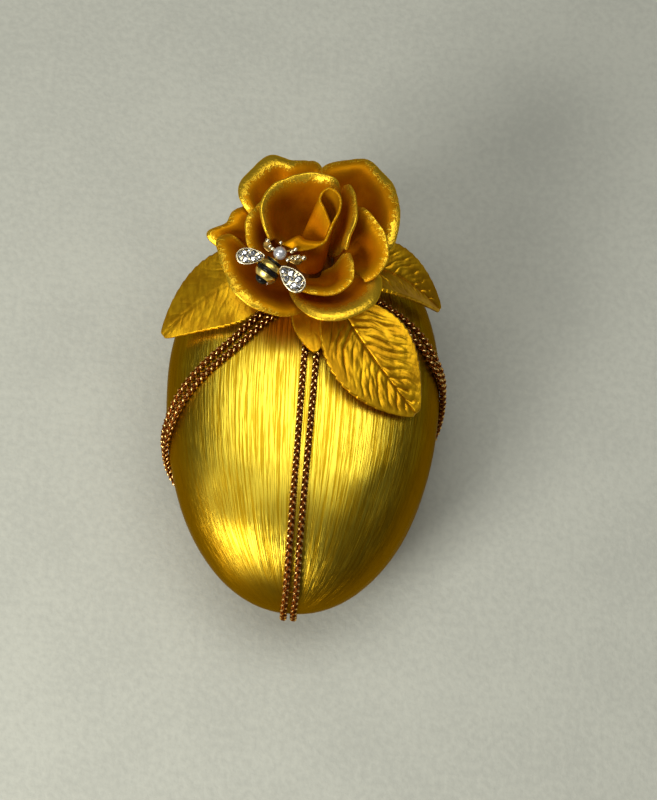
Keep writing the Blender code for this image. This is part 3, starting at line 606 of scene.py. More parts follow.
clay_gloss = {"Metallic": 0.1, "Specular IOR Level": 0.15}
clay_look = {"span": (0.35, 0.7), "detail": 4.0, "depth": LUMP_DEPTH}
core_shade_finish = mottled(
    "core_shade_clay", clay_gloss, (CORE_SHADE_DEEP, CORE_SHADE_PALE), LUMP_RATE, (0.45, 0.25), **clay_look
)
paint_solid("rose_core", core_shade_finish)
painted_clay_finish = finish("painted_clay", {"Metallic": 0.5, "Specular IOR Level": 0.25}, painted_clay)
bed_top = -CORE_STANDS - GAP
bed_rings = []
for share, depth in BED_SECTION + [(share, None) for share in BED_FOOT_SHARES]:
    ring = []
    height = Vector((0.0, 0.0, bed_top - (depth or 0.0) * MM))
    layer = Vector((0.0, 0.0, depth or BED_LUMP_LAYER))
    for way in round_steps(BED_STEPS if share else 1):
        way = Vector((*way, 0.0))
        lump = 1 + BED_LUMP * noise.noise(way * BED_LUMP_RATE + layer)
        spot = rose_place @ (way * BED_RADIUS * share * lump + height)
        if depth is None:
            beside = spot - egg_middle
            spot.z = egg_middle.z + egg_depth(beside.x, egg_section(beside.y))
        ring.append(spot)
    bed_rings.append(ring)
bed = ringed("pressed_rose_bed", bed_rings, painted_clay_finish)
fit(bed, "clay_core", "rose_glue_bed")

# The rose: thin petals of rolled clay, pressed on the core one after the other, each with its rim turned
# out. They are painted amber gold, and bright gold is dragged along the rims with a dry brush.
PETAL_THICKNESS = 0.5 * MM
RIM_THICKNESS = 0.64 * MM
RIM_PULL = 0.28 * MM
EDGE_ROUND = 0.3
RIM_FROM = 0.78
PETAL_START = CORE_RADIUS + GAP
PETAL_COLUMNS = 52
PETAL_ROWS = 26
PETAL_ROW_CROWD = 1.5
PETAL_BASE_SPREAD = 0.42
PETAL_SPREAD_BEND = 0.7
CUP_INNER_ANGLE = 28.0
CUP_START_ANGLE = 45.0
CUP_START_RATE = 0.9
CUP_BEND = 1.5
RUFFLE = 0.28 * MM
RUFFLE_RATE = 0.085
FINE_RUFFLE = 0.09 * MM
FINE_RUFFLE_RATE = 0.45
PETAL_WAVE = 1.6
PETAL_WAVE_RATE = 0.035
PETAL_WAVE_ROWS = 2
PETAL_SEED_STEP = 7.3
FLARE_EARLY = 3
FLARE_LATE = 8
# Petal rims: (direction round the axis in degrees, radius in mm, height above the fan point in mm, width of
# the gold along the rim in mm).
PETAL_RIMS = {
    "rose_petal_inner_left": [
        (50, 7.2, 11.0, 0.3), (61, 7.6, 14.4, 0.8), (90, 7.6, 14.6, 1.0), (125, 7.8, 14.2, 0.6),
        (155, 8.4, 13.9, 0.8), (185, 7.7, 12.9, 0.6), (205, 7.0, 10.8, 0.2),
    ],
    "rose_petal_inner_right": [
        (56, 9.0, 11.4, 0.2), (46, 8.6, 13.2, 0.2), (28, 7.9, 13.1, 0.2), (8, 7.3, 12.6, 0.4),
        (-14, 6.8, 11.8, 0.5), (-30, 6.7, 9.9, 0.2),
    ],
    "rose_petal_middle_left": [
        (135, 9.0, 9.7, 0.1), (160, 9.6, 10.6, 0.2), (178, 10.4, 10.5, 0.2), (195, 10.3, 9.3, 0.1),
        (215, 9.7, 7.3, 0.0), (230, 9.0, 5.5, 0.0),
    ],
    "rose_petal_middle_right": [
        (40, 9.2, 8.0, 0.0), (24, 9.3, 10.7, 0.1), (10, 10.6, 10.3, 0.1), (-3, 12.0, 9.5, 0.3),
        (-15, 12.8, 8.3, 0.2), (-27, 12.6, 7.1, 0.0), (-36, 11.3, 5.7, 0.0),
    ],
    "rose_petal_middle_lower": [
        (-24, 7.0, 7.9, 0.5), (-35, 8.6, 8.1, 0.4), (-49, 10.6, 7.6, 0.1), (-64, 10.8, 7.0, 0.0),
        (-85, 10.1, 6.9, 0.0), (-106, 9.4, 6.6, 0.0), (-120, 8.4, 5.7, 0.0),
    ],
    "rose_petal_outer_lower_right": [
        (-112, 7.9, 3.3, 0.1), (-104, 9.6, 3.8, 0.3), (-92, 12.3, 4.7, 0.9), (-78, 14.4, 5.3, 1.5),
        (-60, 14.9, 5.4, 1.8), (-42, 14.5, 5.2, 1.8), (-26, 13.0, 4.7, 1.1), (-18, 10.9, 3.8, 0.5),
    ],
    "rose_petal_outer_lower_left": [
        (176, 13.6, 5.7, 0.2), (182, 15.1, 6.0, 0.3), (195, 14.7, 5.9, 0.3), (209, 14.7, 5.7, 0.5),
        (222, 14.8, 5.2, 0.7), (233, 14.6, 4.6, 0.5), (245, 13.6, 3.9, 0.1), (257, 12.5, 3.2, 0.0),
        (268, 10.4, 2.3, 0.1),
    ],
    "rose_petal_outer_left": [
        (132, 11.8, 4.8, 0.1), (148, 12.7, 5.9, 0.1), (158, 13.6, 6.1, 0.1), (167, 14.2, 5.6, 0.2),
        (175, 16.8, 5.0, 0.4), (182, 14.2, 3.7, 0.4), (188, 11.3, 2.7, 0.2),
    ],
    "rose_petal_outer_upper_left": [
        (157, 9.9, 6.5, 0.4), (152, 12.8, 8.0, 0.8), (143, 14.7, 8.5, 1.1), (130, 15.6, 8.7, 1.5),
        (116, 16.3, 8.7, 1.9), (106, 14.9, 8.2, 1.0), (96, 14.8, 7.4, 0.3), (88, 15.2, 6.6, 0.4),
        (82, 13.0, 5.7, 0.3),
    ],
    "rose_petal_outer_upper": [
        (112, 11.0, 2.9, 0.1), (102, 13.6, 3.9, 0.2), (90, 14.6, 4.2, 0.3), (78, 14.3, 4.1, 0.3),
        (68, 12.6, 3.5, 0.2), (60, 10.6, 2.7, 0.1),
    ],
    "rose_petal_outer_upper_right": [
        (88, 10.6, 6.3, 0.3), (85, 13.2, 7.5, 0.4), (79, 14.3, 8.4, 0.2), (68, 15.4, 8.9, 0.1),
        (58, 16.9, 9.0, 0.5), (46, 16.3, 8.9, 0.9), (32, 15.9, 8.6, 0.4), (20, 14.9, 8.1, 0.5),
        (9, 14.1, 7.4, 0.9), (0, 13.3, 6.6, 1.4), (-8, 11.6, 5.4, 0.5),
    ],
}
# How far each ring of petals turns its rim out, in degrees.
PETAL_FLARE = {"inner": 6.0, "middle": 10.0, "outer": 13.0}
AMBER_DEEP = (0.37, 0.09, 0.0008, 1.0)
AMBER = (0.53, 0.165, 0.001, 1.0)
AMBER_NEAR_EDGE = (0.56, 0.28, 0.003, 1.0)
AMBER_GLOSS = (0.85, 0.52, 0.06, 1.0)
RIM_GOLD = (0.84, 0.52, 0.030, 1.0)
DRAG_STRETCH = (1.7, 0.5, 1.0)
SPECK_RATE = 3200.0
PETAL_CLOUD_RATE = 260.0
# How far in mm the brush's drag and the specks fray the gold's edge, and half the width of that edge.
GILT_DRAG = 2.2
GILT_SPECKS = 2.4
GILT_SOFT = 0.40
GILT_DEPTH = 0.17 * MM
# The zone inside the gold where the amber turns lighter and more metallic towards the petal's edges: its
# width in mm, how far in mm it wavers, and its strength.
NEAR_EDGE_WIDTH = 3.2
NEAR_EDGE_CLOUD = 3.5
NEAR_EDGE_SHARE = 0.6


def polar(direction, radius, height):
    """A point in the rose's axes from a direction in degrees, a radius and a height."""
    turn = math.radians(direction)
    return Vector((radius * math.cos(turn), radius * math.sin(turn), height))


def crowded(share):
    """Rows lie closer together towards the rim, where the sheet bends most."""
    return 1 - (1 - share) ** PETAL_ROW_CROWD


def by_rows(columns):
    """Rows of points and the paint's marks, from columns of (point, rim place, way in from the gold)."""
    rows, rim_place, ungilt = [
        [[spot[part] for spot in row] for row in zip(*columns)] for part in range(3)
    ]
    return rows, {"rim_place": rim_place, "ungilt": ungilt}


def petal_rows(rim, flare, seed):
    """Rows of points from the core to the rim, and what the paint reads there, in mm."""
    middle = (rim[0][0] + rim[-1][0]) / 2
    span = math.radians(abs(rim[-1][0] - rim[0][0]))
    columns = []
    for column in range(PETAL_COLUMNS + 1):
        place = column / PETAL_COLUMNS
        direction, radius, height, gold = along(rim, place)
        ruffle = RUFFLE * noise.noise(Vector((direction * RUFFLE_RATE, seed, 0.0)))
        ruffle += FINE_RUFFLE * noise.noise(Vector((direction * FINE_RUFFLE_RATE, seed, 0.0)))
        reach = math.hypot(radius, height) * MM - RIM_PULL + ruffle
        rim_angle = math.degrees(math.atan2(radius, height))
        start_angle = CUP_START_ANGLE + CUP_START_RATE * (rim_angle - CUP_INNER_ANGLE)
        aside = min(place, 1 - place) * span * radius
        line = []
        for row in range(PETAL_ROWS + 1):
            share = crowded(row / PETAL_ROWS)
            distance = PETAL_START + (reach - PETAL_START) * share
            opening = rim_angle + (start_angle - rim_angle) * (1 - share) ** CUP_BEND
            opening += flare * (share**FLARE_LATE - share**FLARE_EARLY)
            wave = Vector((direction * PETAL_WAVE_RATE, share * PETAL_WAVE_ROWS, seed))
            opening = math.radians(opening + PETAL_WAVE * share * noise.noise(wave))
            spread = PETAL_BASE_SPREAD + (1 - PETAL_BASE_SPREAD) * share**PETAL_SPREAD_BEND
            turn = middle + (direction - middle) * spread
            point = polar(turn, distance * math.sin(opening), distance * math.cos(opening))
            to_edge = min((reach - distance) / MM, aside * spread)
            rim_place = Vector((place * span * radius, to_edge, seed))
            line.append((rose_place @ point, rim_place, to_edge - gold))
        columns.append(line)
    return by_rows(columns)


def shell(name, rows, walls, marks, material):
    """A closed sheet through rows of points, with its own thickness in each row and half-round edges."""
    last_row, last_column = len(rows) - 1, len(rows[0]) - 1
    places = [(row, column) for row in range(last_row + 1) for column in range(last_column + 1)]
    count = len(places)
    upper, lower = [], []
    for row, column in places:
        across = rows[row][min(column + 1, last_column)] - rows[row][max(column - 1, 0)]
        length = rows[min(row + 1, last_row)][column] - rows[max(row - 1, 0)][column]
        out = across.cross(length).normalized() * walls[row] / 2
        upper.append(rows[row][column] + out)
        lower.append(rows[row][column] - out)
    number = {place: index for index, place in enumerate(places)}
    faces = []
    for row in range(last_row):
        for column in range(last_column):
            quad = [(row, column), (row, column + 1), (row + 1, column + 1), (row + 1, column)]
            faces.append([number[corner] for corner in quad])
            faces.append([count + number[corner] for corner in reversed(quad)])
    edge = [(0, column) for column in range(last_column)]
    edge += [(row, last_column) for row in range(last_row)]
    edge += [(last_row, column) for column in range(last_column, 0, -1)]
    edge += [(row, 0) for row in range(last_row, 0, -1)]
    bead = []
    for row, column in edge:
        inner = rows[min(max(row, 1), last_row - 1)][min(max(column, 1), last_column - 1)]
        out = (rows[row][column] - inner).normalized()
        bead.append(rows[row][column] + out * walls[row] * EDGE_ROUND)
    for step, place in enumerate(edge):
        after = (step + 1) % len(edge)
        here, there = number[place], number[edge[after]]
        faces.append([there, here, 2 * count + step, 2 * count + after])
        faces.append([2 * count + after, 2 * count + step, count + here, count + there])
    values = {}
    for label, grid in marks.items():
        flat = [grid[row][column] for row, column in places]
        values[label] = flat + flat + [grid[row][column] for row, column in edge]
    piece = new_piece(name, upper + lower + bead, faces, material, values)
    smooth = piece.modifiers.new("Smooth", "SUBSURF")
    smooth.levels = smooth.render_levels = 1
    return piece


def rim_walls(count):
    """The thickness of each row of a petal: thin in the cup and rolled over at the rim."""
    shares = [crowded(row / (count - 1)) for row in range(count)]
    swell = [smooth_step((share - RIM_FROM) / (1 - RIM_FROM)) for share in shares]
    return [PETAL_THICKNESS + (RIM_THICKNESS - PETAL_THICKNESS) * part for part in swell]


def petal_gold(start):
    place = object_place(start)
    rim_place = mark(start, "rim_place", "Vector")
    to_edge = start.node("ShaderNodeSeparateXYZ", {}, {0: rim_place}, "Y")
    drag = grain(stretched(rim_place, DRAG_STRETCH), 1.0, 4.0)
    specks = grain(place, SPECK_RATE, 3.0)
    cloud = grain(place, PETAL_CLOUD_RATE, 3.0)
    frayed = mark(start, "ungilt") + (drag - 0.5) * GILT_DRAG + (specks - 0.5) * GILT_SPECKS
    gilt = between(frayed, GILT_SOFT, -GILT_SOFT)
    # The amber turns lighter and more metallic within a few mm of the petal's edges, and stays darker further
    # into the cup.
    near_edge = between(to_edge + (cloud - 0.5) * NEAR_EDGE_CLOUD, NEAR_EDGE_WIDTH, 0.0)
    amber = tint(between(cloud, 0.3, 0.7), AMBER_DEEP, AMBER)
    amber = tint(near_edge * NEAR_EDGE_SHARE, amber, AMBER_NEAR_EDGE)
    height = specks * 0.4 + drag * 0.6
    return {
        "Base Color": tint(gilt, amber, RIM_GOLD),
        "Metallic": 0.30 + near_edge * 0.15 + gilt * 0.4,
        "Roughness": 0.42 - gilt * 0.10,
        "Normal": relief(height * (0.3 + gilt * 0.7), GILT_DEPTH),
    }


petal_gloss = {"Specular IOR Level": 0.16, "Specular Tint": AMBER_GLOSS}
petal_gold_finish = finish("amber_petal_gold", petal_gloss, petal_gold)
for seed, (node, rim) in enumerate(PETAL_RIMS.items()):
    rows, marks = petal_rows(rim, PETAL_FLARE[node.split("_")[2]], seed * PETAL_SEED_STEP)
    petal = shell(f"clay_{node}", rows, rim_walls(len(rows)), marks, petal_gold_finish)
    fit(petal, "petal_gold", node)

# The bud: the first petal, rolled from a strip of the same clay round the middle of the core and pressed on
# its top. Its front lip is turned out and its far end curled in.
BUD_RIM = [
    (-4.8, -3.4, 11.0, 40), (-3.4, -4.1, 10.9, 46), (-1.6, -4.6, 10.8, 52), (0.7, -4.1, 11.0, 54),
    (2.2, -3.4, 11.6, 50), (2.8, -2.3, 12.4, 42), (3.4, -1.0, 13.4, 36), (4.3, 0.7, 14.4, 33),
    (4.4, 2.5, 15.1, 33), (3.6, 3.7, 15.4, 33), (2.5, 4.1, 15.5, 33), (1.6, 3.5, 15.2, 33),
    (1.3, 2.3, 14.8, 33), (2.0, 1.2, 14.1, 33), (3.05, -0.75, 12.8, 33),
]
BUD_MIDDLE = Vector((0.9, 0.2, 0.0)) * MM
BUD_CURL_FOOT = Vector((-1.8, -1.0, 6.6)) * MM
BUD_CURL_FROM = 0.55
BUD_CURL_TO = 0.86
BUD_END_FOOT = Vector((1.9, -2.5, 9.0)) * MM
BUD_LIP = 2.2 * MM
BUD_LIP_START = 0.10
BUD_LIP_END = 0.4
BUD_NECK = 0.86
BUD_THICKNESS = 0.45 * MM
BUD_LIP_CREST = 0.35
BUD_GILT = -0.3
BUD_PULL = 0.15 * MM
BUD_COLUMNS = 110
BUD_ROWS = 28
BUD_RIM_LENGTH = 27.5
BUD_SEED = 28.0


def bud_rows():
    """Rows of points of the rolled bud from its foot to its rim, and what the paint reads there."""
    stand = CORE_RADIUS + GAP + BUD_THICKNESS / 2
    columns = []
    for column in range(BUD_COLUMNS + 1):
        share = column / BUD_COLUMNS
        across, length, height, foot_angle = along(BUD_RIM, share)
        rim = Vector((across, length, height)) * MM
        rim.z -= BUD_PULL
        direction = math.degrees(math.atan2(length, across))
        foot_angle = math.radians(foot_angle)
        foot = polar(direction, stand * math.sin(foot_angle), stand * math.cos(foot_angle))
        inward = BUD_MIDDLE - Vector((rim.x, rim.y, 0))
        curled = smooth_step((share - BUD_CURL_FROM) / (BUD_CURL_TO - BUD_CURL_FROM))
        ended = smooth_step((share - BUD_CURL_TO) / (1 - BUD_CURL_TO))
        foot = foot.lerp(BUD_CURL_FOOT, curled).lerp(BUD_END_FOOT, ended)
        lip = BUD_LIP * smooth_step(share / BUD_LIP_START) * smooth_step(1 - share / BUD_LIP_END)
        neck = foot.lerp(rim, BUD_NECK) + inward.normalized() * lip
        neck.z += lip
        crest = neck.lerp(rim, 0.5)
        crest.z += lip * BUD_LIP_CREST
        stations = [foot, foot.lerp(neck, 0.35), foot.lerp(neck, 0.7), neck, crest, rim]
        line = []
        for row in range(BUD_ROWS + 1):
            point = along(stations, row / BUD_ROWS)
            to_edge = (rim - point).length / MM
            rim_place = Vector((share * BUD_RIM_LENGTH, to_edge, BUD_SEED))
            line.append((rose_place @ point, rim_place, to_edge - BUD_GILT))
        columns.append(line)
    return by_rows(columns)


rows, marks = bud_rows()
bud = shell("clay_rose_bud", rows, [BUD_THICKNESS] * len(rows), marks, petal_gold_finish)
fit(bud, "petal_gold", "rose_bud_roll")

# The leaves: clay pressed in a veined mould, cut with a toothed edge, bent over the egg while soft and
# painted with satin gold. Their stalk ends are glued under the petals.
LEAF_THICKNESS = 0.7 * MM
LEAF_ROWS = 120
LEAF_COLUMNS_EACH_SIDE = 36
LEAF_OUTLINE_END = 0.98
LEAF_OUTLINE_FULLNESS = 0.8
LEAF_TEETH = 17
LEAF_TEETH_DEPTH = 0.035
LEAF_BORDER = 2.2
MIDRIB_DEPTH = 1.3
MIDRIB_WIDTH = 0.30
VEIN_WIDTH = 0.22
VEIN_SLANT = 1.0
VEIN_CURVE = 0.03
VEIN_WANDER = 0.35
VEIN_WANDER_RATES = (3, 6)
VEIN_STRENGTH = 0.55
VEIN_STRENGTH_RATES = (0.7, 0.4)
WRINKLE = 0.42
WRINKLE_RATES = (2.6, 1.1)
DEEP_VEIN = 0.3
# Each leaf: three midline points in mm from the egg's middle, the direction that it faces, half width in mm,
# fold, the share of the outline where it starts, the outline's bend, the veins' pitch in mm and depth in mm.
LEAVES = {
    "leaf_left": [
        (-5.4, 13.8, 14.6), (-14.0, 13.7, 16.2), (-22.95, 5.5, 8.0),
        (-0.2, 0.0, 1.0), 6.4, 0.10, 0.03, 0.8, 2.4, 0.05,
    ],
    "leaf_right": [
        (6.2, 15.8, 13.9), (13.2, 18.8, 14.0), (21.6, 12.8, 6.4),
        (0.45, 0.1, 0.9), 4.6, -0.35, 0.03, 0.8, 2.0, 0.24,
    ],
    "leaf_front": [
        (4.4, 10.7, 15.6), (8.9, 2.4, 16.6), (18.1, -6.7, 11.2),
        (0.26, -0.1, 0.96), 7.2, -0.06, 0.08, 1.15, 2.1, 0.26,
    ],
    "leaf_small": [
        (0.3, 11.2, 15.0), (1.0, 6.1, 15.4), (1.8, 1.3, 15.4),
        (0.0, 0.0, 1.0), 3.0, 0.04, 0.10, 0.9, 2.2, 0.03,
    ],
}
LEAF_GOLD = (0.77, 0.43, 0.006, 1.0)
LEAF_DEEP = (0.55, 0.27, 0.0015, 1.0)
# The dark brown painted as shade into the veins' grooves.
LEAF_GROOVE_SHADE = (0.20, 0.08, 0.001, 1.0)
LEAF_STROKE_STRETCH = (1.0, 0.35, 1.0)
LEAF_STROKE_RATE = 1500.0
LEAF_STROKE_DEPTH = 0.05 * MM
LEAF_CLOUD_RATE = 300.0


def uneven(first, second, third, rates):
    """Smooth noise at a place, whose first two sides are taken at their own rates."""
    return noise.noise(Vector((first * rates[0], second * rates[1], third)))


def leaf_rows(base, middle, tip, face, half_width, fold, start, bend, vein_pitch, vein_depth):
    """Rows of points of a leaf from its stalk end to its tip, with the depth of the veins at each."""
    face = Vector(face).normalized()
    base, middle, tip = (Vector(point) * MM for point in (base, middle, tip))
    length_mm = ((middle - base).length + (tip - middle).length) / MM
    rows, veins = [], []
    for row in range(LEAF_ROWS + 1):
        share = row / LEAF_ROWS
        centre = base * (1 - share) ** 2 + middle * 2 * share * (1 - share) + tip * share**2
        heading = ((middle - base) * (1 - share) + (tip - middle) * share).normalized()
        across = heading.cross(face).normalized()
        upward = across.cross(heading)
        outline = math.sin(math.pi * (start + (LEAF_OUTLINE_END - start) * share) ** bend)
        tooth = 1 + LEAF_TEETH_DEPTH * (0.5 - (share * LEAF_TEETH) % 1.0)
        width = half_width * MM * outline**LEAF_OUTLINE_FULLNESS * tooth
        line, depths = [], []
        for column in range(-LEAF_COLUMNS_EACH_SIDE, LEAF_COLUMNS_EACH_SIDE + 1):
            side = column / LEAF_COLUMNS_EACH_SIDE
            aside = abs(side) * width / MM
            wander = VEIN_WANDER * uneven(side, share, half_width, VEIN_WANDER_RATES)
            phase = (share * length_mm - VEIN_SLANT * aside - VEIN_CURVE * aside**2) / vein_pitch + wander
            gap = abs((phase + 0.5) % 1.0 - 0.5) * vein_pitch
            inside = smooth_step((width / MM - aside) / LEAF_BORDER)
            vein = math.exp(-((gap / VEIN_WIDTH) ** 2)) * smooth_step(aside / MIDRIB_WIDTH) * inside
            rib = math.exp(-((aside / MIDRIB_WIDTH) ** 2))
            strength = VEIN_STRENGTH + uneven(phase, aside, side, VEIN_STRENGTH_RATES)
            vein *= max(0.0, min(1.0, strength))
            wrinkle = WRINKLE * uneven(phase, aside, half_width + side, WRINKLE_RATES) * inside
            sink = vein_depth * MM * (MIDRIB_DEPTH * rib + vein + wrinkle)
            point = centre + across * width * side + upward * (-fold * width * abs(side) - sink)
            line.append(egg_middle + point)
            depths.append(max(rib, vein + max(0.0, wrinkle)) * min(1.0, vein_depth / DEEP_VEIN))
        rows.append(line)
        veins.append(depths)
    return rows, veins


def leaf_gold(start):
    place = object_place(start)
    strokes = grain(stretched(place, LEAF_STROKE_STRETCH), LEAF_STROKE_RATE, 3.0)
    cloud = grain(place, LEAF_CLOUD_RATE, 3.0)
    worn = between(cloud + (strokes - 0.5) * 0.4, 0.35, 0.7)
    # Painted shade: the base colour turns dark brown in the veins' grooves, by their depth.
    groove = between(mark(start, "vein") + (strokes - 0.5) * 0.5, 0.3, 1.1)
    return {
        "Base Color": tint(groove, tint(worn, LEAF_DEEP, LEAF_GOLD), LEAF_GROOVE_SHADE),
        "Roughness": 0.38 + groove * 0.2 + (strokes - 0.5) * 0.15,
        "Normal": relief(strokes, LEAF_STROKE_DEPTH),
    }


leaf_gold_finish = finish("satin_leaf_gold", {"Metallic": 0.85}, leaf_gold)
for node, shape in LEAVES.items():
    rows, veins = leaf_rows(*shape)
    leaf = shell(f"pressed_{node}", rows, [LEAF_THICKNESS] * len(rows), {"vein": veins}, leaf_gold_finish)
    fit(leaf, "leaf_gold", node)

# The bee's body: a small cast charm, gold plated, with black enamel in two grooves and on its tail, and a
# pearl on a peg for its head. It lies on the petals at the rose's left.
BEE_PLACE = Vector((-6.1, -7.2, 9.2)) * MM
BEE_FACE = Vector((-0.10, -0.45, 0.89)).normalized()
BEE_HEADING = Vector((0.56, 0.726, 0.40))
# The body's outline in mm: place along it and radius. The first points are the pearl's peg.
BEE_BODY_OUTLINE = [
    (2.0, 0.0), (1.95, 0.3), (1.72, 0.34), (1.7, 0.6), (1.55, 0.9), (1.15, 0.95), (1.05, 1.3), (0.6, 1.6),
    (0.15, 1.66), (0.05, 1.38), (-0.75, 1.36), (-0.85, 1.6), (-1.2, 1.52), (-1.65, 1.24), (-1.8, 1.1),
    (-1.85, 0.0),
]
# Enamel bands: place along the body, width, radius of the groove and outer radius, in mm.
BEE_BANDS = {
    "bee_enamel_band_front": (1.35, 0.30, 0.88, 1.22),
    "bee_enamel_band_rear": (-0.35, 0.68, 1.30, 1.66),
}
BEE_TAIL_FOOT = -1.8
BEE_TAIL_START = -1.95
BEE_TAIL_RADIUS = 0.9
BEE_TAIL_LENGTH = 0.8
PEARL_RADIUS = 1.05
PEARL_PLACE = (2.9, 0.0, 0.25)
BEE_WIDER = 1.16
TURNED_STEPS = 48
DOME_STEPS = 12
CORNER_CUTS = 2
PLATE_DEEP = (0.88, 0.58, 0.10, 1.0)
PLATE_GOLD = (1.0, 0.80, 0.27, 1.0)
ENAMEL_BLACK = (0.004, 0.004, 0.004, 1.0)
ENAMEL_GREY = (0.014, 0.012, 0.010, 1.0)
PEARL_COOL = (0.62, 0.62, 0.66, 1.0)
PEARL_WARM = (0.80, 0.78, 0.74, 1.0)
PLATE_RUB_RATE = 1400.0
PLATE_SCRATCH_RATE = 7000.0
PLATE_SCRATCH_DEPTH = 0.01 * MM
ENAMEL_RATE = 1800.0
ENAMEL_DEPTH = 0.02 * MM
PEARL_RATE = 900.0
bee_heading = (BEE_HEADING - BEE_FACE * BEE_HEADING.dot(BEE_FACE)).normalized()
bee_turn = Matrix((bee_heading, BEE_FACE.cross(bee_heading), BEE_FACE)).transposed().to_4x4()
bee_place = rose_place @ Matrix.Translation(BEE_PLACE) @ bee_turn


def corners_cut(outline):
    """The outline with its corners cut off and cut off again. Its two ends stay."""
    for _ in range(CORNER_CUTS):
        pairs = zip(outline, outline[1:])
        middle = [Vector(here).lerp(Vector(there), part) for here, there in pairs for part in (0.25, 0.75)]
        outline = [outline[0]] + middle + [outline[-1]]
    return outline


def turned(name, outline, place, material, wider=1.0, loop=False):
    """A body turned round the bee's length from (place along, radius) points in mm, spread to its sides."""
    rings = []
    for length, radius in outline:
        ways = round_steps(TURNED_STEPS if radius else 1)
        points = [Vector((length, wider * radius * aside, radius * up)) for aside, up in ways]
        rings.append([bee_place @ ((point + Vector(place)) * MM) for point in points])
    return ringed(name, rings, material, loop=loop)


def plated_gold(start):
    place = object_place(start)
    rub = grain(place, PLATE_RUB_RATE, 3.0)
    scratch = grain(place, PLATE_SCRATCH_RATE, 2.0)
    return {
        "Base Color": tint(between(rub, 0.35, 0.65), PLATE_DEEP, PLATE_GOLD),
        "Roughness": 0.24 + rub * 0.16,
        "Normal": relief(scratch, PLATE_SCRATCH_DEPTH),
    }


def pearl_lustre(start):
    cloud = grain(object_place(start), PEARL_RATE, 3.0)
    return {
        "Base Color": tint(between(cloud, 0.35, 0.65), PEARL_COOL, PEARL_WARM),
        "Metallic": 0.50 + cloud * 0.20,
        "Roughness": 0.24 + cloud * 0.12,
    }


plated_gold_finish = finish("plated_gold", {"Metallic": 1.0}, plated_gold)
enamel_gloss = {"Coat Weight": 0.15, "Coat Roughness": 0.02, "Specular IOR Level": 0.10}
enamel = (ENAMEL_BLACK, ENAMEL_GREY)
black_enamel_finish = mottled(
    "black_enamel", enamel_gloss, enamel, ENAMEL_RATE, (0.08, 0.10), span=None, depth=ENAMEL_DEPTH
)
pearl_finish = finish("pearl_lustre", {"Coat Weight": 1.0, "Coat Roughness": 0.06}, pearl_lustre)
outline = corners_cut(BEE_BODY_OUTLINE)
bee_body = turned("cast_bee_body", outline, (0, 0, 0), plated_gold_finish, BEE_WIDER)
fit(bee_body, "bee_gold", "bee_body")
for node, (length, width, inner, outer) in BEE_BANDS.items():
    half = width / 2
    outline = [(-half, inner), (-half, outer), (half, outer), (half, inner), (-half, inner)]
    outline = corners_cut(outline)[:-1]
    band = turned(f"poured_{node}", outline, (length, 0, 0), black_enamel_finish, BEE_WIDER, True)
    fit(band, "black_enamel", node)
tail_outline = [(BEE_TAIL_FOOT, 0.0), (BEE_TAIL_FOOT, BEE_TAIL_RADIUS)]
for step in range(DOME_STEPS):
    lift = math.pi / 2 * step / DOME_STEPS
    back = BEE_TAIL_START - BEE_TAIL_LENGTH * math.sin(lift)
    tail_outline.append((back, BEE_TAIL_RADIUS * math.cos(lift)))
tail_outline.append((BEE_TAIL_START - BEE_TAIL_LENGTH, 0.0))
tail = turned("poured_bee_tail", tail_outline, (0, 0, 0), black_enamel_finish, BEE_WIDER)
fit(tail, "black_enamel", "bee_tail_enamel")
pearl_outline = [(-PEARL_RADIUS, 0.0)]
for step in range(1, 2 * DOME_STEPS):
    lift = math.pi * (step / (2 * DOME_STEPS) - 0.5)
    pearl_outline.append((PEARL_RADIUS * math.sin(lift), PEARL_RADIUS * math.cos(lift)))
pearl_outline.append((PEARL_RADIUS, 0.0))
pearl = turned("drilled_bee_pearl", pearl_outline, PEARL_PLACE, pearl_finish)
fit(pearl, "pearl", "bee_pearl")

# The bee's wings: two cast dishes of pale plated metal with a raised bezel, soldered to the body. Cut stones
# are set in each, large ones in two rows with small ones in the gaps.
WING_STEPS = 64
WING_FLARE = 0.3
WING_HEIGHT = 0.55
# Wings: (inner end, outer end) in mm along and across the bee, half width in mm.
BEE_WINGS = {
    "left": ((1.1, 1.5), (-1.5, 5.2), 1.25),
    "right": ((1.25, -1.4), (0.4, -6.4), 1.5),
}
# A dish's section from the middle of its back to that of its floor: share of the outline, height in mm.
DISH_SECTION = [
    (0.0, 0.0), (0.96, 0.0), (1.0, 0.08), (1.0, 0.38), (0.97, 0.45), (0.90, 0.45), (0.86, 0.38),
    (0.84, 0.32), (0.0, 0.32),
]
# Stones: share of the way along the wing, offset to the side in half widths, radius in mm on the left wing.
STONES = [
    (0.16, 0.0, 0.36), (0.38, 0.32, 0.42), (0.40, -0.36, 0.40), (0.66, 0.42, 0.48), (0.70, -0.38, 0.48),
    (0.52, 0.0, 0.26), (0.84, 0.05, 0.30), (0.26, 0.42, 0.20), (0.26, -0.42, 0.20), (0.53, 0.66, 0.18),
    (0.55, -0.68, 0.18), (0.85, 0.55, 0.17), (0.87, -0.46, 0.16), (0.27, 0.0, 0.15),
]
STONE_NODES = 5
STONE_HEIGHT = 1.1
# A cut stone in girdle radii: the rings of its table, stars and girdle, and its point in the dish's floor.
STONE_TABLE = (0.53, 0.75)
STONE_STARS = (0.76, 0.60)
STONE_GIRDLE_TOP = 0.40
STONE_GIRDLE_FOOT = 0.25
STONE_POINT = -0.7
STONE_TILT = 0.32
STONE_SEED = 4
BEZEL_DEEP = (0.58, 0.48, 0.28, 1.0)
BEZEL_PALE = (0.94, 0.85, 0.62, 1.0)
STONE_DARK = (0.30, 0.30, 0.32, 1.0)
STONE_CLEAR = (0.90, 0.91, 0.94, 1.0)
BEZEL_RATE = 1600.0
STONE_FIRE_RATE = 2600.0


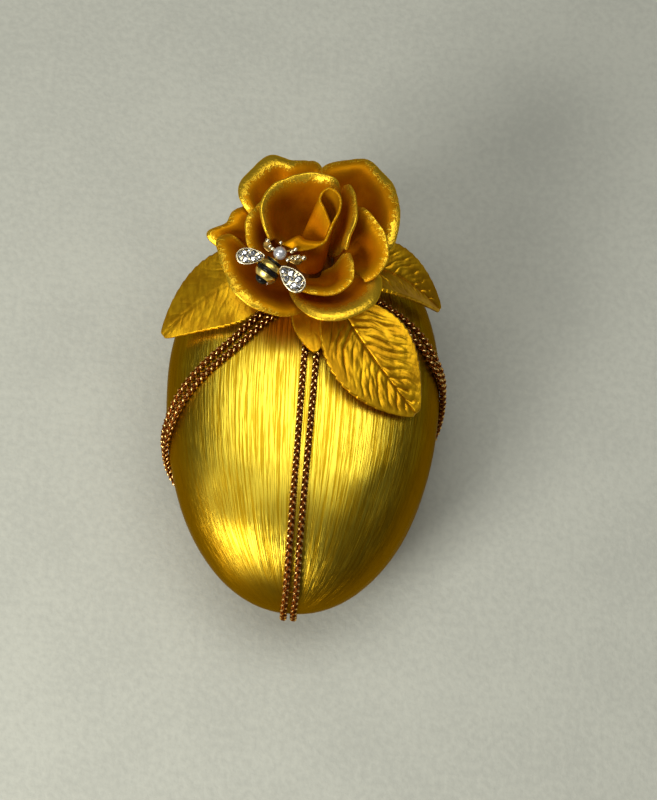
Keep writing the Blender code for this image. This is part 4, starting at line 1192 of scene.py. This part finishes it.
def wing_axes(inner, outer):
    """A wing's two ends, its heading and the way beside it, in the bee's axes."""
    inner, outer = Vector((*inner, 0.0)), Vector((*outer, 0.0))
    heading = (outer - inner).normalized()
    return inner, outer, heading, Vector((-heading.y, heading.x, 0.0))


def add_wing(name, wing, section, height, material):
    """A wing through rings of its outline, from the middle of its back to the middle of its front."""
    inner, outer, heading, beside = wing_axes(*wing[:2])
    half_length = (outer - inner).length / 2
    rings = []
    for scale, rise in section:
        centre = (inner + outer) / 2 + Vector((0, 0, height + rise))
        ring = []
        for ahead, aside in round_steps(WING_STEPS if scale else 1):
            wide = wing[2] * aside * (1 + WING_FLARE * ahead)
            spot = centre + (heading * half_length * ahead + beside * wide) * scale
            ring.append(bee_place @ (spot * MM))
        rings.append(ring)
    return ringed(name, rings, material)


def setting_tree():
    """Sets a shape on each of a guide's points at the point's own size, turned and tilted by chance."""
    tree, inputs = new_tree("set_pieces", ["Tilt"], ["Shape"])
    start = Wire(tree)
    shape = start.node("GeometryNodeObjectInfo", {}, {"Object": inputs["Shape"]}, "Geometry")
    size = start.node("GeometryNodeInputNamedAttribute", {"data_type": "FLOAT"}, {"Name": "size"})
    tilt, back = inputs["Tilt"], inputs["Tilt"] * -1.0
    low = start.node("ShaderNodeCombineXYZ", {}, {0: back, 1: back, 2: 0.0})
    high = start.node("ShaderNodeCombineXYZ", {}, {0: tilt, 1: tilt, 2: math.tau})
    chance = {"data_type": "FLOAT_VECTOR"}
    turn = start.node("FunctionNodeRandomValue", chance, {0: low, 1: high, "Seed": STONE_SEED})
    sockets = {"Points": inputs["Guide"], "Instance": shape, "Rotation": turn, "Scale": size}
    placed = start.node("GeometryNodeInstanceOnPoints", {}, sockets)
    close_tree(tree, [placed], inputs["Finish"], False)
    return tree


def set_on(name, spots, shape, tilt, material):
    """Copies of a shape at (place in mm, size in mm) spots in the bee's axes, as one piece."""
    places = [Vector(place) * MM for place, _ in spots]
    sizes = [size * MM for _, size in spots]
    values = {"Tilt": tilt, "Shape": shape, "Finish": material}
    piece = grown(name, places, [], {"size": sizes}, set_pieces, values)
    piece.data.transform(bee_place)
    return piece


def cut_stone():
    """One stone of girdle radius 1 with flat facets: table, stars, kites, girdle and a point below."""
    table = [(STONE_TABLE[0], math.tau * step / 8, STONE_TABLE[1]) for step in range(8)]
    stars = [(STONE_STARS[0], math.tau * (step + 0.5) / 8, STONE_STARS[1]) for step in range(8)]
    girdle = [(1.0, math.tau * step / 16, STONE_GIRDLE_TOP) for step in range(16)]
    foot = [(1.0, math.tau * step / 16, STONE_GIRDLE_FOOT) for step in range(16)]
    corners = [(r * math.cos(turn), r * math.sin(turn), z) for r, turn, z in table + stars + girdle + foot]
    corners.append((0.0, 0.0, STONE_POINT))
    star, rim, low, point = 8, 16, 32, 48
    faces = [list(range(8))]
    for step in range(8):
        after, before = (step + 1) % 8, (step + 7) % 8
        faces.append([step, star + step, after])
        faces.append([step, star + before, rim + 2 * step, star + step])
        faces.append([star + step, rim + 2 * step, rim + 2 * step + 1])
        faces.append([star + step, rim + 2 * step + 1, rim + (2 * step + 2) % 16])
    for step in range(16):
        after = (step + 1) % 16
        faces.append([rim + step, low + step, low + after, rim + after])
        faces.append([low + step, point, low + after])
    stone = new_piece("cut_stone", corners, faces, crystal_finish)
    stone.data.shade_flat()
    return stone


bezel = (BEZEL_DEEP, BEZEL_PALE)
pale_bezel_finish = mottled("pale_bezel", {"Metallic": 1.0}, bezel, BEZEL_RATE, (0.14, 0.2))
crystal = (STONE_DARK, STONE_CLEAR)
crystal_gloss = {"Metallic": 0.85, "Coat Weight": 1.0, "Coat Roughness": 0.02}
crystal_finish = mottled(
    "cut_crystal", crystal_gloss, crystal, STONE_FIRE_RATE, (0.03, 0.06), span=(0.4, 0.6), detail=2.0
)
set_pieces = setting_tree()
stone = cut_stone()
for side, wing in BEE_WINGS.items():
    dish = add_wing(f"dished_wing_{side}", wing, DISH_SECTION, WING_HEIGHT, pale_bezel_finish)
    fit(dish, "bee_gold", f"bee_wing_{side}")
    inner, outer, heading, beside = wing_axes(*wing[:2])
    spots = []
    for share, aside, radius in STONES:
        spot = inner.lerp(outer, share) + beside * aside * wing[2]
        spots.append(((spot.x, spot.y, STONE_HEIGHT), radius * wing[2] / BEE_WINGS["left"][2]))
    stones = set_on(f"cut_stones_{side}", spots, stone, STONE_TILT, crystal_finish)
    fit(stones, "crystal", *(f"bee_stone_{side}_{number}" for number in range(1, STONE_NODES + 1)))
bpy.data.objects.remove(stone)

# The bee's fore wings and feelers: two small cast plates with beads of metal melted on them, and three wires
# from under the pearl, each with a bead at its end.
BEE_FORE_WINGS = {
    "left": ((2.15, 1.25), (3.1, 3.0), 0.65),
    "right": ((2.9, -1.3), (4.0, -3.5), 0.75),
}
PLATE_SECTION = [(0.0, 0.0), (0.95, 0.0), (1.0, 0.1), (1.0, 0.34), (0.93, 0.43), (0.8, 0.45), (0.0, 0.45)]
# Beads: place along and across the bee, and radius, in mm.
BEADS = [
    (3.3, 2.65, 0.42), (2.83, 1.84, 0.38), (2.76, 1.33, 0.36), (2.72, -1.64, 0.38), (3.42, -1.99, 0.40),
    (3.69, -2.53, 0.40), (4.15, -2.68, 0.38), (4.47, -3.45, 0.46), (4.19, -1.37, 0.38), (4.78, -1.63, 0.38),
    (4.30, 0.85, 0.34),
]
BEAD_HEIGHT = 0.55
FEELERS = {"near": (4.19, -1.37), "far": (4.78, -1.63), "left": (4.30, 0.85)}
FEELER_FOOT = Vector((3.3, 0.0, 0.1))
FEELER_RADIUS = 0.11
FEELER_STEPS = 12
CHAMPAGNE_DEEP = (0.20, 0.11, 0.02, 1.0)
CHAMPAGNE = (0.36, 0.22, 0.06, 1.0)
CHAMPAGNE_RATE = 2000.0
BEAD_STEPS = 16

champagne = (CHAMPAGNE_DEEP, CHAMPAGNE)
champagne_finish = mottled("champagne_plate", {"Metallic": 1.0}, champagne, CHAMPAGNE_RATE, (0.2, 0.2))
for side, wing in BEE_FORE_WINGS.items():
    plate = add_wing(f"beaded_fore_wing_{side}", wing, PLATE_SECTION, 0.0, champagne_finish)
    fit(plate, "bee_gold", f"bee_fore_wing_{side}")
bead_rings = []
for length, radius in pearl_outline:
    ways = round_steps(BEAD_STEPS if radius else 1)
    points = [Vector((length, radius * aside, radius * up)) for aside, up in ways]
    bead_rings.append([point * (1 / PEARL_RADIUS) for point in points])
bead = ringed("bead", bead_rings, champagne_finish)
spots = [((along_bee, across, BEAD_HEIGHT), radius) for along_bee, across, radius in BEADS]
beads = set_on("melted_beads", spots, bead, 0.0, pale_bezel_finish)
fit(beads, "bee_gold")
bpy.data.objects.remove(bead)
for name, end in FEELERS.items():
    end = Vector((*end, BEAD_HEIGHT))
    heading = (end - FEELER_FOOT).normalized()
    beside = heading.cross(Vector((0, 0, 1))).normalized()
    above = beside.cross(heading)
    rings = [[bee_place @ (FEELER_FOOT * MM)]]
    for centre in (FEELER_FOOT, end):
        ways = [beside * aside + above * up for aside, up in round_steps(FEELER_STEPS)]
        rings.append([bee_place @ ((centre + way * FEELER_RADIUS) * MM) for way in ways])
    rings.append([bee_place @ (end * MM)])
    feeler = ringed(f"wire_feeler_{name}", rings, champagne_finish)
    fit(feeler, "bee_gold")

# The glue: the set dab that holds the charm on the petals. It hardly shows under the bee, so the solid keeps
# its shape and gets a clear, amber finish.
GLUE_YELLOW = (0.34, 0.14, 0.01, 1.0)
GLUE_PALE = (0.42, 0.21, 0.03, 1.0)
GLUE_RATE = 1100.0

glue_gloss = {"Transmission Weight": 0.4, "Specular IOR Level": 0.25}
glue = (GLUE_YELLOW, GLUE_PALE)
paint_solid("bee_glue_dab", mottled("set_glue", glue_gloss, glue, GLUE_RATE, (0.10, 0.15), span=None))

# The surface below, the light and the view: a pale sheet of paper, a soft lamp from the lower left, a wide
# soft one overhead, and a camera that looks down on the egg's front.
PAPER = (0.56, 0.57, 0.50, 1.0)
PAPER_DULL = (0.50, 0.51, 0.45, 1.0)
PAPER_SIDE = 3.0
PAPER_FIBRE_RATE = 900.0
PAPER_FIBRE_DEPTH = 0.1 * MM
PAPER_CLOUD_RATE = 60.0
# Lamps: place from the egg's middle in m, width and height in m, power in W, colour.
LAMPS = {
    "key": ((-0.22, -0.215, 0.20), (0.16, 0.16), 1.0, (1.0, 0.98, 0.92)),
    "overhead": ((0.0, 0.09, 0.55), (0.66, 0.30), 1.75, (1.0, 0.99, 0.94)),
}
ROOM_COLOUR = (0.85, 0.85, 0.82, 1.0)
ROOM_STRENGTH = 0.10
VIEW_ELEVATION = math.radians(72)
VIEW_ROLL = math.radians(2.7)
VIEW_DISTANCE = 320 * MM
VIEW_ASIDE = 4.124 * MM
VIEW_BELOW = 1.649 * MM
VIEW_LENS = 87.3
VIEW_SENSOR = 36.0
VIEW_CLIP = 10 * MM


def pale_paper(start):
    place = object_place(start)
    fibre = grain(place, PAPER_FIBRE_RATE, 4.0)
    cloud = grain(place, PAPER_CLOUD_RATE, 3.0)
    return {
        "Base Color": tint(between(fibre * 0.6 + cloud * 0.4, 0.35, 0.65), PAPER_DULL, PAPER),
        "Normal": relief(fibre, PAPER_FIBRE_DEPTH),
    }


paper_finish = finish("pale_paper", {"Roughness": 0.85}, pale_paper)
half = PAPER_SIDE / 2
paper_mesh = bpy.data.meshes.new("paper")
corners = [(-half, -half, 0), (half, -half, 0), (half, half, 0), (-half, half, 0)]
paper_mesh.from_pydata(corners, [], [(0, 1, 2, 3)])
paper_mesh.materials.append(paper_finish)
new_object("paper", paper_mesh)
for name, (place, size, power, colour) in LAMPS.items():
    light = bpy.data.lights.new(name, "AREA")
    light.shape = "RECTANGLE"
    light.size, light.size_y = size
    light.energy = power
    light.color = colour
    lamp = new_object(name, light)
    lamp.location = egg_middle + Vector(place)
    lamp.rotation_euler = (-Vector(place)).to_track_quat("-Z", "Y").to_euler()
world = bpy.data.worlds.new("room")
world.use_nodes = True
room = world.node_tree.nodes["Background"].inputs
room["Color"].default_value = ROOM_COLOUR
room["Strength"].default_value = ROOM_STRENGTH
bpy.context.scene.world = world

forward = Vector((0.0, math.cos(VIEW_ELEVATION), -math.sin(VIEW_ELEVATION)))
level_up = Vector((0.0, math.sin(VIEW_ELEVATION), math.cos(VIEW_ELEVATION)))
level_right = Vector((1.0, 0.0, 0.0))
view_up = level_up * math.cos(VIEW_ROLL) - level_right * math.sin(VIEW_ROLL)
view_right = level_right * math.cos(VIEW_ROLL) + level_up * math.sin(VIEW_ROLL)
eye = egg_middle - forward * VIEW_DISTANCE + view_right * VIEW_ASIDE - view_up * VIEW_BELOW
lens = bpy.data.cameras.new("view")
lens.sensor_fit = "VERTICAL"
lens.sensor_height = VIEW_SENSOR
lens.lens = VIEW_LENS
lens.clip_start = VIEW_CLIP
camera = new_object("view", lens)
view_turn = Matrix((view_right, view_up, -forward)).transposed().to_4x4()
camera.matrix_world = Matrix.Translation(eye) @ view_turn
bpy.context.scene.camera = camera
bpy.context.scene.view_settings.view_transform = "Standard"
